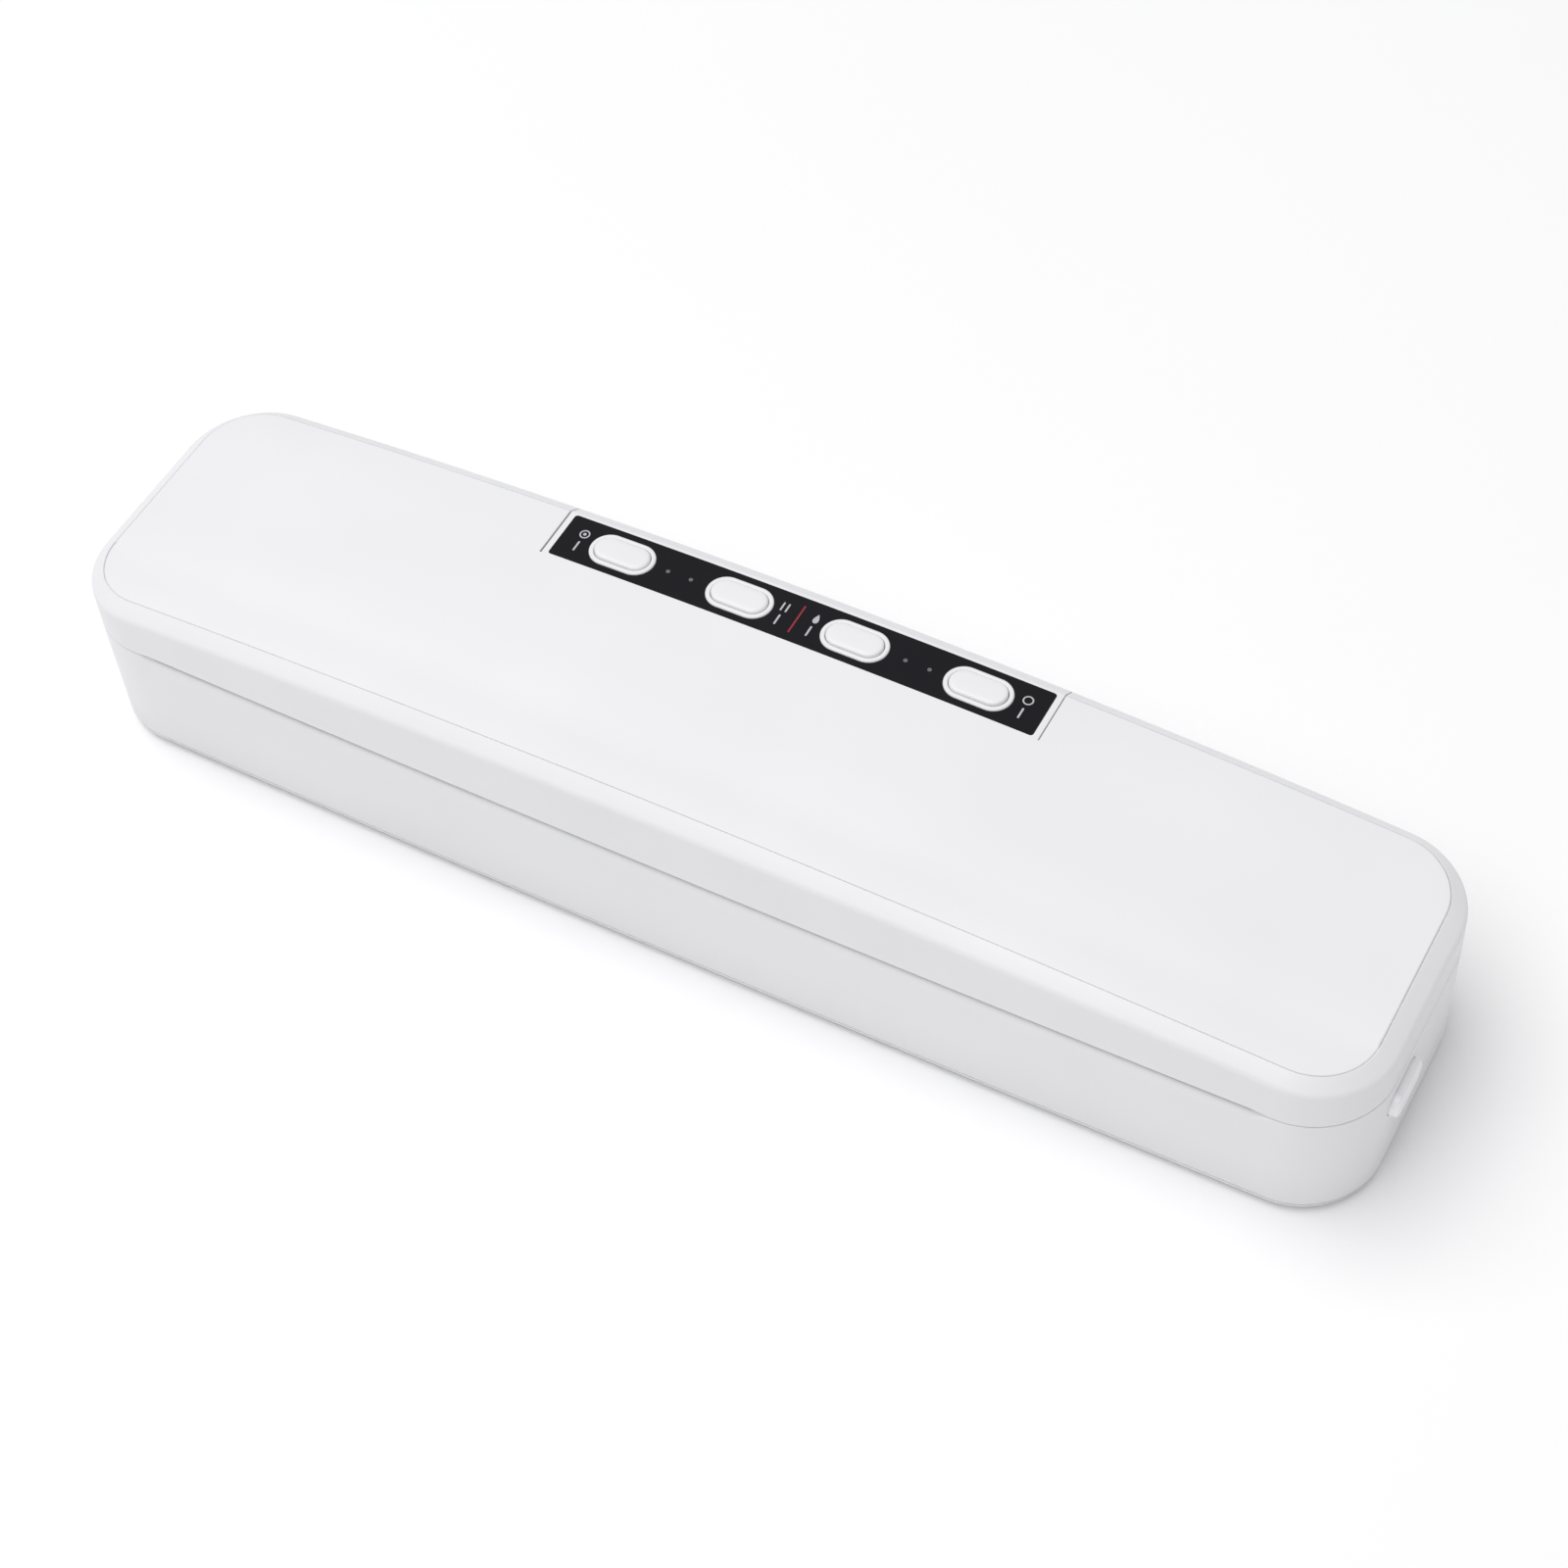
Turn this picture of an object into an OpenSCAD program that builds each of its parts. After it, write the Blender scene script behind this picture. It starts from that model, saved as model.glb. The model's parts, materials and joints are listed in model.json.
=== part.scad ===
/* [Body] */
// Overall length of the body, left to right
body_l = 380; // [376:1:384]
// Depth of the body at its ends, front to rear
body_w = 84.4; // [84:0.1:85]
// How far the long sides bow outwards at mid-length
plan_bow = 1.4; // [1:0.1:1.6]
// Corner radius of the plan outline
corner_r = 22.3; // [21:0.1:23]
// How far the top arches up at mid-length
crown_h = 7.4; // [7:0.1:7.8]
// Height of the joint between base and lid
split_z = 40.7; // [40.5:0.1:40.9]
// Height of the lid's bevelled edge at the ends
edge_z = 52.5; // [52.3:0.1:52.7]
// Height of the seam round the top panel at the ends
seam_z = 55.8; // [55.6:0.1:56]
// Wall thickness of the shells
wall = 2.2; // [2:0.1:2.3]

/* [Feet and bottom cover] */
// How far the feet stand below the bottom cover
foot_h = 1.5; // [1.2:0.1:2]
// Radius of a foot
foot_r = 6.5; // [6:0.1:7]
// Thickness of the bottom cover
cover_t = 2.4; // [2.2:0.1:2.8]

/* [Lid] */
// Gap between the lid's rim and the base's rim
rim_gap = 0.4; // [0.3:0.05:0.5]
// Height of the bag mouth at the front
mouth_h = 2.2; // [1.8:0.1:2.4]
// Half length of the bag mouth
mouth_x = 165; // [160:1:166]
// Thickness of the top panel
panel_t = 1.7; // [1.5:0.1:1.8]
// How far the top panel stands proud of its seam
panel_up = 0.2; // [0:0.1:0.3]

/* [Hinge] */
// Distance of the hinge axis behind the centre
hinge_y = 40.2; // [40.1:0.1:40.3]
// Radius of the hinge knuckles
knuckle_r = 3; // [2.8:0.1:3.1]
// Radius of the hinge pins
pin_r = 1; // [0.9:0.05:1.1]
// Radial play of the pins in the lid's knuckles
pin_play = 0.05; // [0.02:0.01:0.08]

/* [Control strip] */
// Half length of the control housing
module_x = 73.8; // [73.6:0.1:74]
// Front face of the control housing
module_y = 22.1; // [22:0.1:22.2]
// Half length of the black overlay
overlay_x = 72; // [71.5:0.1:72.5]
// Front edge of the black overlay
overlay_y0 = 23; // [22.9:0.1:23.2]
// Rear edge of the black overlay
overlay_y1 = 38.1; // [37.9:0.1:38.2]
// Distance of the inner pair of buttons from the middle
button_x1 = 17.2; // [17:0.1:17.4]
// Distance of the outer pair of buttons from the middle
button_x2 = 53.1; // [53:0.1:53.3]
// Travel of the buttons
button_travel = 0.8; // [0.5:0.1:0.8]

/* [End buttons] */
// Distance of the end buttons from the centre line
release_y = -14; // [-14.5:0.1:-13]
// Height of the end buttons
release_z = 31.4; // [31:0.1:31.6]
// Length of an end button
release_l = 16.8; // [16:0.2:18]
// How far an end button stands out of its wall
release_up = 2.2; // [1.5:0.1:2.4]
// Travel of the end buttons
release_travel = 2.5; // [1.5:0.1:2.5]

/* [Sealing] */
// Centre line of the heater bar
heater_y = -33.5; // [-33.6:0.1:-33.4]
// Length of the heater bar
heater_l = 320; // [318:1:322]
// Centre line of the vacuum trough
trough_y = -12.5; // [-12.6:0.1:-12.4]
// Length of the gasket ring
gasket_l = 340; // [338:1:342]
// Depth of the gasket ring, front to rear
gasket_w = 30; // [29.5:0.5:30]

/* [Hidden] */
$fn = 48;

half_l = body_l / 2;
half_w = body_w / 2;
base_z = foot_h;
cover_top = base_z + cover_t;
base_rim_z = split_z - rim_gap / 2;
lid_rim_z = split_z + rim_gap / 2;
mouth_z0 = split_z - mouth_h / 2;
mouth_z1 = split_z + mouth_h / 2;
panel_l = half_l - 5.1;
panel_w = half_w - 4.5;
panel_r = 16.7;
pocket_h = panel_t - panel_up;
panel_gap = 0.25;
tuck = 0.02;
ceiling_z = seam_z - pocket_h - 2;
base_taper = 0.4;
cover_gap = 0.4;
arc_steps = 6;
side_steps = 12;

deck_z0 = 34;
deck_z1 = 38;
groove_w = 5;
tray_slot_l = gasket_l - 2 * groove_w - 8;
tray_slot_w = 17.6;
groove_h = 2.2;
liner_z0 = 43;
liner_t = 2;
liner_groove = 0.8;
gasket_gap = 0.3;
gasket_split = 40.6;
tray_z0 = 28.5;
heater_z0 = 30;
heater_z1 = 39.5;
heater_w = 7;
terminal_x = 152;
tray_t = 1.2;

hinge_x0 = 84;
hinge_x1 = 124;
knuckle_l = 10;
knuckle_gap = 0.3;
relief_r = 4;
skirt_r = 3.7;
relief_x0 = module_x + 0.3;
relief_x1 = 176.8;
knuckle_top = split_z + 3.7;

module_gap = 0.35;
end_gap = 0.6;
overlay_t = 1;
collar_l = 19.4;
collar_w = 11;
collar_up = 0.5;
cap_play = 0.3;
housing_ceiling = 58.6;
housing_t = 1.8;
cap_l = 16.4;
cap_w = 8;
cap_up = 1.2;
button_y = (overlay_y0 + overlay_y1) / 2;
button_xs = [-button_x2, -button_x1, button_x1, button_x2];
lens_xs = [-39, -32, 32, 39];
lens_r = 0.6;
housing_y1 = half_w - 2;
key_board_z = 48;
key_board_top = key_board_z + 1.6;
key_board_spots = [for (x = [-66, 66], y = [26, 35.4]) [x, y]];
tact_top = 54.1;

hook_x = 177;
slider_h = 4.4;
slider_x0 = 171;
button_x0 = 185.5;
spring_x0 = 164.4;
pump_y = 16;
pump_z = 19;
motor_x0 = -165;
motor_x1 = -134;
motor_r = 12.2;
shaft_r = 1;
head_x1 = -104;
hose_z = 16;
hose_r = 3;
hose_bore = 1.5;
nozzle_x = 148;
tee_x = 20;
hose_turn_x = -56;
board_x0 = -60;
board_x1 = 110;
board_y0 = 6;
board_y1 = 38;
board_z = 8;
board_t = 1.6;
board_top = board_z + board_t;
inlet_x = 140;
inlet_z = 20;
inlet_y = 42.4;
foot_spots = [for (x = [-160, 160], y = [-29, 29]) [x, y]];
cover_screw_spots = [[-170, -8], [170, -22], [-60, -37.4], [60, -37.4], [-70, 37.6], [122, 37.6]];
deck_post_spots = [[-172, 22], [-84, 30], [118, 30], [172, 22]];
board_post_spots = [for (x = [board_x0 + 4, board_x1 - 4], y = [board_y0 + 4, board_y1 - 4]) [x, y]];
liner_screw_spots = [for (x = [-1, 1], p = [[179, -24], [178, 22], [132, 18]]) [x * p.x, p.y]];

white = [0.93, 0.93, 0.95];
black = [0.08, 0.08, 0.1];

// ---- plan outline: a rounded rectangle whose long sides bow outwards ----

// Share of the full crown or bow at a distance x from the middle.
function arch(x) = 1 - pow(x / half_l, 2);
function top_z(x) = seam_z + crown_h * arch(x);

// Front half of the outline, from the left end to the right end.
function front_half(a, b, r) = concat(
    [for (i = [0:arc_steps]) let (t = 180 + 90 * i / arc_steps)
        [-a + r + r * cos(t), -b + r + r * sin(t)]],
    [for (i = [1:side_steps - 1]) [-a + r + 2 * (a - r) * i / side_steps, -b]],
    [for (i = [0:arc_steps]) let (t = 270 + 90 * i / arc_steps)
        [a - r + r * cos(t), -b + r + r * sin(t)]]);

function bowed(x, y) = y * (1 + plan_bow * arch(x) / half_w);

// Closed outline with half length a, half depth b and corner radius r.
function outline(a, b, r) = let (f = front_half(a, b, r), n = len(f)) concat(
    [for (p = f) [p.x, bowed(p.x, p.y)]],
    [for (i = [n - 1:-1:0]) [f[i].x, bowed(f[i].x, -f[i].y)]]);

// The outline moved inwards by d, at height z, arched by lift.
function ring(d, z, lift = 0) = ring_abr(half_l - d, half_w - d, corner_r - d, z, lift);
function ring_abr(a, b, r, z, lift = 0) =
    [for (p = outline(a, b, r)) [p.x, p.y, z + lift * arch(p.x)]];
function seam_ring(d, z) = ring_abr(panel_l + d, panel_w + d, panel_r + d, z, crown_h);

// Triangles between ring j and the next one.
function band(j, k, n) = [for (i = [0:n - 1])
    let (i2 = (i + 1) % n, a = j * n, b = ((j + 1) % k) * n)
    each [[a + i, b + i, b + i2], [a + i, b + i2, a + i2]]];

// A cap across a ring: front and rear points with the same x are joined.
function cap(o, n, flip) = [for (i = [0:n / 2 - 2])
    let (a = o + i, b = o + i + 1, c = o + n - 2 - i, d = o + n - 1 - i)
    each flip ? [[a, c, b], [a, d, c]] : [[a, b, c], [a, c, d]]];

// Solid through a list of rings, closed at both ends or joined last to first.
module loft(rings, hollow = false) {
    n = len(rings[0]);
    k = len(rings);
    last = hollow ? k - 1 : k - 2;
    polyhedron(points = [for (r = rings) each r], faces = concat(
        [for (j = [0:last]) each band(j, k, n)],
        hollow ? [] : cap(0, n, false), hollow ? [] : cap((k - 1) * n, n, true)));
}

module plan(a, b, r, z0, z1) {
    translate([0, 0, z0]) linear_extrude(z1 - z0) polygon(outline(a, b, r));
}

// ---- shared shapes ----

module block(x0, x1, y0, y1, z0, z1) {
    translate([x0, y0, z0]) cube([x1 - x0, y1 - y0, z1 - z0]);
}

module rod_z(x, y, r, z0, z1) {
    translate([x, y, z0]) cylinder(r = r, h = z1 - z0);
}

module rod_x(r, x0, x1, y, z) {
    translate([x0, y, z]) rotate([0, 90, 0]) cylinder(r = r, h = x1 - x0);
}

// Flat shape with half-round ends, centred on x, y.
module obround(x, y, l, w, z0, z1) {
    translate([x, y, z0]) linear_extrude(z1 - z0) {
        square([l - w, w], center = true);
        for (s = [-1, 1]) translate([s * (l - w) / 2, 0]) circle(r = w / 2);
    }
}

// The same shape lying in the end wall: long along Y, thick along X.
module end_obround(side, l, w, x0, x1) {
    translate([side * x0, release_y, release_z]) rotate([0, side * 90, 0]) linear_extrude(x1 - x0) {
        square([w, l - w], center = true);
        for (s = [-1, 1]) translate([0, s * (l - w) / 2]) circle(r = w / 2);
    }
}

// Oval ring round the trough, used for the groove and both gaskets.
module trough_ring(play, z0, z1) {
    difference() {
        obround(0, trough_y, gasket_l + 2 * play, gasket_w + 2 * play, z0, z1);
        obround(0, trough_y, gasket_l - 2 * groove_w - 2 * play, gasket_w - 2 * groove_w - 2 * play,
            z0 - 1, z1 + 1);
    }
}

module screw(x, y, head_z, head_r, head_h, shank_r, shank_l, up = 1) {
    translate([x, y, head_z]) scale([1, 1, up]) difference() {
        union() {
            cylinder(r = head_r, h = head_h);
            translate([0, 0, -shank_l]) cylinder(r = shank_r, h = shank_l + 0.1);
        }
        for (a = [0, 90]) rotate([0, 0, a])
            translate([-head_r * 0.7, -0.4, head_h / 2]) cube([head_r * 1.4, 0.8, head_h]);
    }
}

// ---- hinge and notch geometry ----

// Everything that the lid has to clear round the control housing, grown by g.
module notch(g) {
    x1 = module_x + end_gap + g;
    steps = 8;
    reach = [for (i = [0:steps]) let (x = -x1 + 2 * x1 * i / steps)
        [norm([hinge_y - module_y + module_gap, top_z(x) - split_z]) + g, x]];
    translate([0, hinge_y, split_z]) rotate([0, 90, 0]) rotate([0, 0, 90])
        rotate_extrude($fn = 96) polygon(concat([[0, -x1]], reach, [[0, x1]]));
}

module hinge_rod(r, x0, x1) {
    rod_x(r, x0, x1, hinge_y, split_z);
}

module both_sides() {
    children();
    mirror([1, 0, 0]) children();
}

// ---- base ----

module base_body(z0, z1) {
    loft([ring(base_taper, z0), ring(0, z1)]);
}

module base_shell() {
    color(white) difference() {
        union() {
            loft([ring(base_taper, cover_top + cover_gap), ring(0, base_rim_z), ring(wall, base_rim_z),
                ring(wall + base_taper, cover_top + cover_gap)], hollow = true);
            // trough that the lid's rear edge turns in
            intersection() {
                base_body(cover_top, base_rim_z);
                both_sides() block(relief_x0, relief_x1 + 1.8, hinge_y - relief_r - 1.6, half_w + 3,
                    split_z - relief_r - 1.8, base_rim_z);
            }
            for (p = cover_screw_spots) intersection() {
                base_body(cover_top, base_rim_z);
                cover_boss(p);
            }
        }
        both_sides() hinge_rod(relief_r, relief_x0, relief_x1);
        block(-mouth_x, mouth_x, -half_w - 3, -half_w + 4.5, mouth_z0, base_rim_z + 1);
        for (s = [-1, 1]) end_obround(s, release_l + 0.6, 8.4, half_l - 5, half_l + 3);
        for (p = cover_screw_spots) rod_z(p.x, p.y, 1.3, cover_top - 1, 22);
        block(inlet_x - 10.6, inlet_x + 10.6, half_w - 6, half_w + 4, inlet_z - 6.1, inlet_z + 6.1);
    }
}

// Screw boss, tied to the nearest wall by a rib.
module cover_boss(p) {
    top = 24;
    out = abs(p.y) > 30 ? [p.x, sign(p.y) * (half_w + 2)] : [sign(p.x) * (half_l - 1), p.y];
    rod_z(p.x, p.y, 3, cover_top, top);
    block(min(p.x, out.x) - 1, max(p.x, out.x) + 1, min(p.y, out.y) - 1, max(p.y, out.y) + 1, cover_top, top);
}

module bottom_cover() {
    color(white) difference() {
        union() {
            loft([ring(2.6, base_z), ring(1.1, base_z + 0.7), ring(base_taper, cover_top)]);
            for (p = deck_post_spots) rod_z(p.x, p.y, 3, cover_top - 0.1, deck_z0);
            for (p = board_post_spots) rod_z(p.x, p.y, 2.6, cover_top - 0.1, board_z);
            cover_lip();
            block(tee_x - 5, tee_x + 5, trough_y + 8, trough_y + 15, cover_top - 0.1, hose_z - 6);
        }
        for (p = foot_spots) rod_z(p.x, p.y, foot_r, base_z - 1, base_z + 1.2);
        for (p = cover_screw_spots) {
            rod_z(p.x, p.y, 3.1, base_z - 1, base_z + 1.4);
            rod_z(p.x, p.y, 1.6, base_z - 1, cover_top + 1);
        }
        for (p = deck_post_spots) rod_z(p.x, p.y, 1.3, deck_z0 - 14, deck_z0 + 1);
        for (p = board_post_spots) rod_z(p.x, p.y, 1, cover_top, board_z + 1);
        for (i = [0:8]) translate([-130 + i * 5, pump_y, 0]) rotate([0, 0, 90])
            obround(0, 0, 22, 2, base_z - 1, cover_top + 1);
    }
}

// Upstand that locates the cover inside the wall, open where the bosses stand.
module cover_lip() {
    d = wall + base_taper + 0.3;
    difference() {
        plan(half_l - d, half_w - d, corner_r - d, cover_top - 0.1, cover_top + 2.6);
        plan(half_l - d - 1.2, half_w - d - 1.2, corner_r - d - 1.2, cover_top - 1, cover_top + 4);
        for (p = cover_screw_spots) block(p.x - 20, p.x + 20, p.y - 6, p.y + 6, cover_top, cover_top + 4);
    }
}

module rubber_feet() {
    color([0.25, 0.25, 0.27]) for (p = foot_spots) difference() {
        rod_z(p.x, p.y, foot_r, 0, base_z + 1.2);
        rod_z(p.x, p.y, foot_r - 2.5, -1, 0.4);
    }
}

module cover_screws() {
    color([0.6, 0.6, 0.62]) for (p = cover_screw_spots)
        screw(p.x, p.y, base_z + 1.4, 2.7, 1.2, 1.3, 14, -1);
}

module deck_plate() {
    edge = wall + 0.4;
    color(white) difference() {
        union() {
            plan(half_l - edge, half_w - edge, corner_r - edge, deck_z0, deck_z1);
            // guides for the latch sliders and walls behind their springs
            both_sides() {
                for (y = [release_y - 10.8, release_y + 9.2])
                    block(166, 182, y, y + 1.6, deck_z0 - 6, deck_z0 + 1);
                block(spring_x0 - 2, spring_x0 - 0.4, release_y - 4, release_y + 4, deck_z0 - 6, deck_z0 + 1);
            }
            // stirrups that carry the heater bar
            for (x = [-120, -40, 40, 120])
                block(x - 2, x + 2, heater_y - 5.6, heater_y + 5.6, heater_z0 - 1.6, deck_z0 + 1);
        }
        trough_ring(0.1, deck_z1 - groove_h, deck_z1 + 1);
        obround(0, trough_y, tray_slot_l, tray_slot_w, deck_z0 - 1, deck_z1 + 1);
        obround(0, heater_y, heater_l + 0.4, heater_w + 0.4, heater_z0, deck_z1 + 1);
        both_sides() {
            block(hook_x - 3, hook_x + 3, release_y - 6, release_y + 6, deck_z0 - 1, deck_z1 + 1);
            block(button_x0 - release_travel - 0.4, half_l, release_y - 11, release_y + 11, deck_z0 - 1,
                deck_z1 + 1);
            block(relief_x0 - 1.5, half_l, hinge_y - relief_r - 1.8, half_w + 4, deck_z0 - 1, deck_z1 + 1);
        }
        for (p = deck_post_spots) {
            rod_z(p.x, p.y, 1.5, deck_z0 - 1, deck_z1 + 1);
            rod_z(p.x, p.y, 2.9, deck_z1 - 1.6, deck_z1 + 1);
        }
        block(-60, 60, 26, 36, deck_z0 - 1, deck_z1 + 1);
    }
}

module deck_screws() {
    color([0.6, 0.6, 0.62]) for (p = deck_post_spots)
        screw(p.x, p.y, deck_z1 - 1.6, 2.7, 1.2, 1.3, 13);
}

module drip_tray() {
    l = tray_slot_l - 0.4;
    w = tray_slot_w - 0.4;
    color([0.8, 0.82, 0.85]) difference() {
        union() {
            obround(0, trough_y, l, w, tray_z0, deck_z1 + 0.1);
            obround(0, trough_y, gasket_l - 2 * groove_w - 1.2, gasket_w - 2 * groove_w - 1.2, deck_z1,
                deck_z1 + 0.8);
        }
        obround(0, trough_y, l - 2 * tray_t, w - 2 * tray_t, tray_z0 + tray_t, deck_z1 + 2);
        rod_z(nozzle_x, trough_y, 3.1, tray_z0 - 1, tray_z0 + 3);
    }
}

module lower_gasket() {
    color([0.2, 0.2, 0.22]) trough_ring(0, deck_z1 - groove_h, gasket_split - gasket_gap / 2);
}

module heater_bar() {
    color([0.55, 0.2, 0.12]) difference() {
        obround(0, heater_y, heater_l, heater_w, heater_z0, heater_z1);
        both_sides() block(terminal_x - 2.2, terminal_x + 2.2, heater_y - 2.4, heater_y + 2.4, heater_z0 - 1,
            heater_z1 - 1.5);
    }
}

module heating_element() {
    color([0.75, 0.72, 0.68]) block(-150, 150, heater_y - 2.5, heater_y + 2.5, heater_z1, heater_z1 + 0.3);
}

module heater_tape() {
    color([0.72, 0.6, 0.42])
        block(-154, 154, heater_y - 3.4, heater_y + 3.4, heater_z1 + 0.3, heater_z1 + 0.6);
}

module heater_terminals() {
    color([0.8, 0.7, 0.35]) both_sides()
        block(terminal_x - 2, terminal_x + 2, heater_y - 2.2, heater_y + 2.2, heater_z0 - 3, 37.8);
}

module suction_nozzle() {
    color([0.85, 0.85, 0.88]) difference() {
        union() {
            rod_z(nozzle_x, trough_y, 3, 20, 35);
            rod_z(nozzle_x, trough_y, 4.6, 33.4, 36.4);
            rod_z(nozzle_x, trough_y, 4.2, tray_z0 - 2, tray_z0);
            rod_x(hose_bore, nozzle_x - 8, nozzle_x, trough_y, hose_z);
            rod_z(nozzle_x, trough_y, 3, hose_z - 2.6, 21);
        }
        rod_z(nozzle_x, trough_y, 1.2, hose_z, 35);
        rod_x(0.8, nozzle_x - 9, nozzle_x, trough_y, hose_z);
        for (a = [0, 90]) translate([nozzle_x, trough_y, 32.2]) rotate([0, 0, a])
            cube([12, 1, 2.4], center = true);
    }
}

// ---- vacuum pump ----

module pump_motor() {
    color([0.72, 0.73, 0.75]) difference() {
        union() {
            rod_x(motor_r, motor_x0, motor_x1, pump_y, pump_z);
            rod_x(4, motor_x0 - 1.6, motor_x0, pump_y, pump_z);
            for (s = [-1, 1]) block(motor_x0 - 4, motor_x0 + 0.1, pump_y + s * 7 - 1.2, pump_y + s * 7 + 1.2,
                pump_z - 0.4, pump_z + 0.4);
        }
        rod_x(shaft_r + 0.05, -155, motor_x1 + 1, pump_y, pump_z);
    }
}

module pump_head() {
    color([0.15, 0.15, 0.17]) difference() {
        union() {
            block(motor_x1, head_x1, pump_y - 13, pump_y + 13, pump_z - 13, pump_z + 13);
            rod_x(hose_bore, head_x1 - 0.1, head_x1 + 9, pump_y, hose_z);
            rod_x(3, head_x1 - 0.1, head_x1 + 5, pump_y - 6, pump_z + 6);
        }
        rod_x(7.6, motor_x1 + 2, -114, pump_y, pump_z);
        rod_x(3, motor_x1 - 1, motor_x1 + 3, pump_y, pump_z);
        rod_x(0.8, -110, head_x1 + 10, pump_y, hose_z);
        rod_x(1.4, -110, head_x1 + 6, pump_y - 6, pump_z + 6);
        for (y = [-10.5, 10.5], z = [-10.5, 10.5])
            rod_x(1.5, motor_x1 + 6, head_x1 + 1, pump_y + y, pump_z + z);
    }
}

module pump_cradle() {
    color([0.3, 0.3, 0.32]) difference() {
        union() {
            for (x = [-161, -142]) {
                rod_x(motor_r + 1.6, x, x + 6, pump_y, pump_z);
                block(x, x + 6, pump_y - 12, pump_y + 12, cover_top, pump_z);
            }
            block(-161, -136, pump_y - 12, pump_y + 12, cover_top, cover_top + 1.8);
        }
        rod_x(motor_r, -170, -130, pump_y, pump_z);
    }
}

module pump_shaft() {
    color([0.8, 0.8, 0.82]) rod_x(shaft_r, -153, -118, pump_y, pump_z);
}

module pump_eccentric() {
    color([0.9, 0.9, 0.88]) difference() {
        union() {
            rod_x(4.5, -126, -121, pump_y + 1.3, pump_z);
            rod_x(2.4, -128, -126, pump_y, pump_z);
        }
        rod_x(shaft_r, -129, -120, pump_y, pump_z);
    }
}

// ---- air line ----

module tube_x(x0, x1, y, z) {
    difference() {
        rod_x(hose_r, x0, x1, y, z);
        rod_x(hose_bore, x0 - 1, x1 + 1, y, z);
    }
}

// Quarter bend of the hose in a level plane.
module tube_bend(x, y, r, start) {
    translate([x, y, hose_z]) rotate([0, 0, start]) rotate_extrude(angle = 90) translate([r, 0])
        difference() {
            circle(r = hose_r);
            circle(r = hose_bore);
        }
}

module air_hose() {
    bend = (pump_y - trough_y) / 2;
    color([0.88, 0.88, 0.86]) {
        tube_x(tee_x + 4, nozzle_x - 3.4, trough_y, hose_z);
        tube_x(hose_turn_x, tee_x - 4, trough_y, hose_z);
        tube_bend(hose_turn_x, trough_y + bend, bend, 180);
        tube_bend(hose_turn_x - 2 * bend, trough_y + bend, bend, 0);
        tube_x(head_x1 + 2, hose_turn_x - 2 * bend, pump_y, hose_z);
    }
}

module hose_tee() {
    color([0.9, 0.9, 0.9]) difference() {
        union() {
            rod_x(hose_bore, tee_x - 11, tee_x + 11, trough_y, hose_z);
            rod_x(hose_r, tee_x - 4, tee_x + 4, trough_y, hose_z);
            translate([tee_x, trough_y, hose_z]) rotate([-90, 0, 0]) cylinder(r = 2, h = 9);
        }
        rod_x(0.8, tee_x - 12, tee_x + 12, trough_y, hose_z);
        translate([tee_x, trough_y, hose_z]) rotate([-90, 0, 0]) cylinder(r = 0.8, h = 10);
    }
}

module release_valve() {
    color([0.2, 0.35, 0.6]) difference() {
        union() {
            block(tee_x - 8, tee_x + 8, trough_y + 6, trough_y + 17, hose_z - 6, hose_z + 7);
            rod_z(tee_x, trough_y + 11.5, 2.2, hose_z + 6.9, hose_z + 10);
        }
        translate([tee_x, trough_y, hose_z]) rotate([-90, 0, 0]) cylinder(r = 2, h = 9);
        rod_z(tee_x, trough_y + 11.5, 1, hose_z + 8, hose_z + 11);
    }
}

// ---- electronics ----

module main_board() {
    color([0.1, 0.35, 0.2]) {
        difference() {
            union() {
                block(board_x0, board_x1, board_y0, board_y1, board_z, board_top);
                for (x = [-40, -24, 78]) block(x, x + 9, 9, 15, board_top - 0.1, board_top + 1.6);
                for (x = [-46:4:-26]) block(x, x + 2, 19, 20.2, board_top - 0.1, board_top + 0.7);
            }
            for (p = board_post_spots) rod_z(p.x, p.y, 1.3, board_z - 1, board_top + 1);
        }
    }
}

module board_screws() {
    color([0.7, 0.7, 0.72]) for (p = board_post_spots) screw(p.x, p.y, board_top, 2.2, 1.4, 1, 5);
}

module transformer() {
    color([0.85, 0.75, 0.25]) difference() {
        union() {
            block(50, 72, 12, 32, board_top, board_top + 3);
            block(52, 70, 14, 30, board_top, board_top + 16);
            block(50, 72, 12, 32, board_top + 13, board_top + 16);
        }
        block(58.5, 63.5, 11, 13, board_top + 13.5, board_top + 17);
    }
}

module board_capacitors() {
    color([0.12, 0.15, 0.3]) for (p = [[36, 28], [36, 14.5], [24, 29]]) difference() {
        rod_z(p.x, p.y, 5, board_top, board_top + 18);
        for (a = [0, 90]) translate([p.x, p.y, board_top + 18]) rotate([0, 0, a])
            cube([6, 0.5, 0.6], center = true);
    }
}

module relay() {
    color([0.1, 0.25, 0.55]) difference() {
        block(4, 23, 9, 24, board_top, board_top + 15.5);
        rod_z(7, 12, 0.8, board_top + 15, board_top + 16);
    }
}

module heat_sink() {
    color([0.75, 0.76, 0.78]) {
        block(-18, 8, 32, 33.6, board_top, board_top + 18);
        for (i = [0:4]) block(-18 + i * 6.1, -16.4 + i * 6.1, 26, 32, board_top, board_top + 18);
    }
}

module terminal_block() {
    color([0.15, 0.5, 0.3]) difference() {
        block(92, 104, 15, 29, board_top, board_top + 10);
        for (y = [18.5, 25.5]) {
            rod_z(96, y, 2, board_top + 6, board_top + 11);
            rod_x(1.8, 99, 105, y, board_top + 3.5);
        }
    }
}

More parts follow.
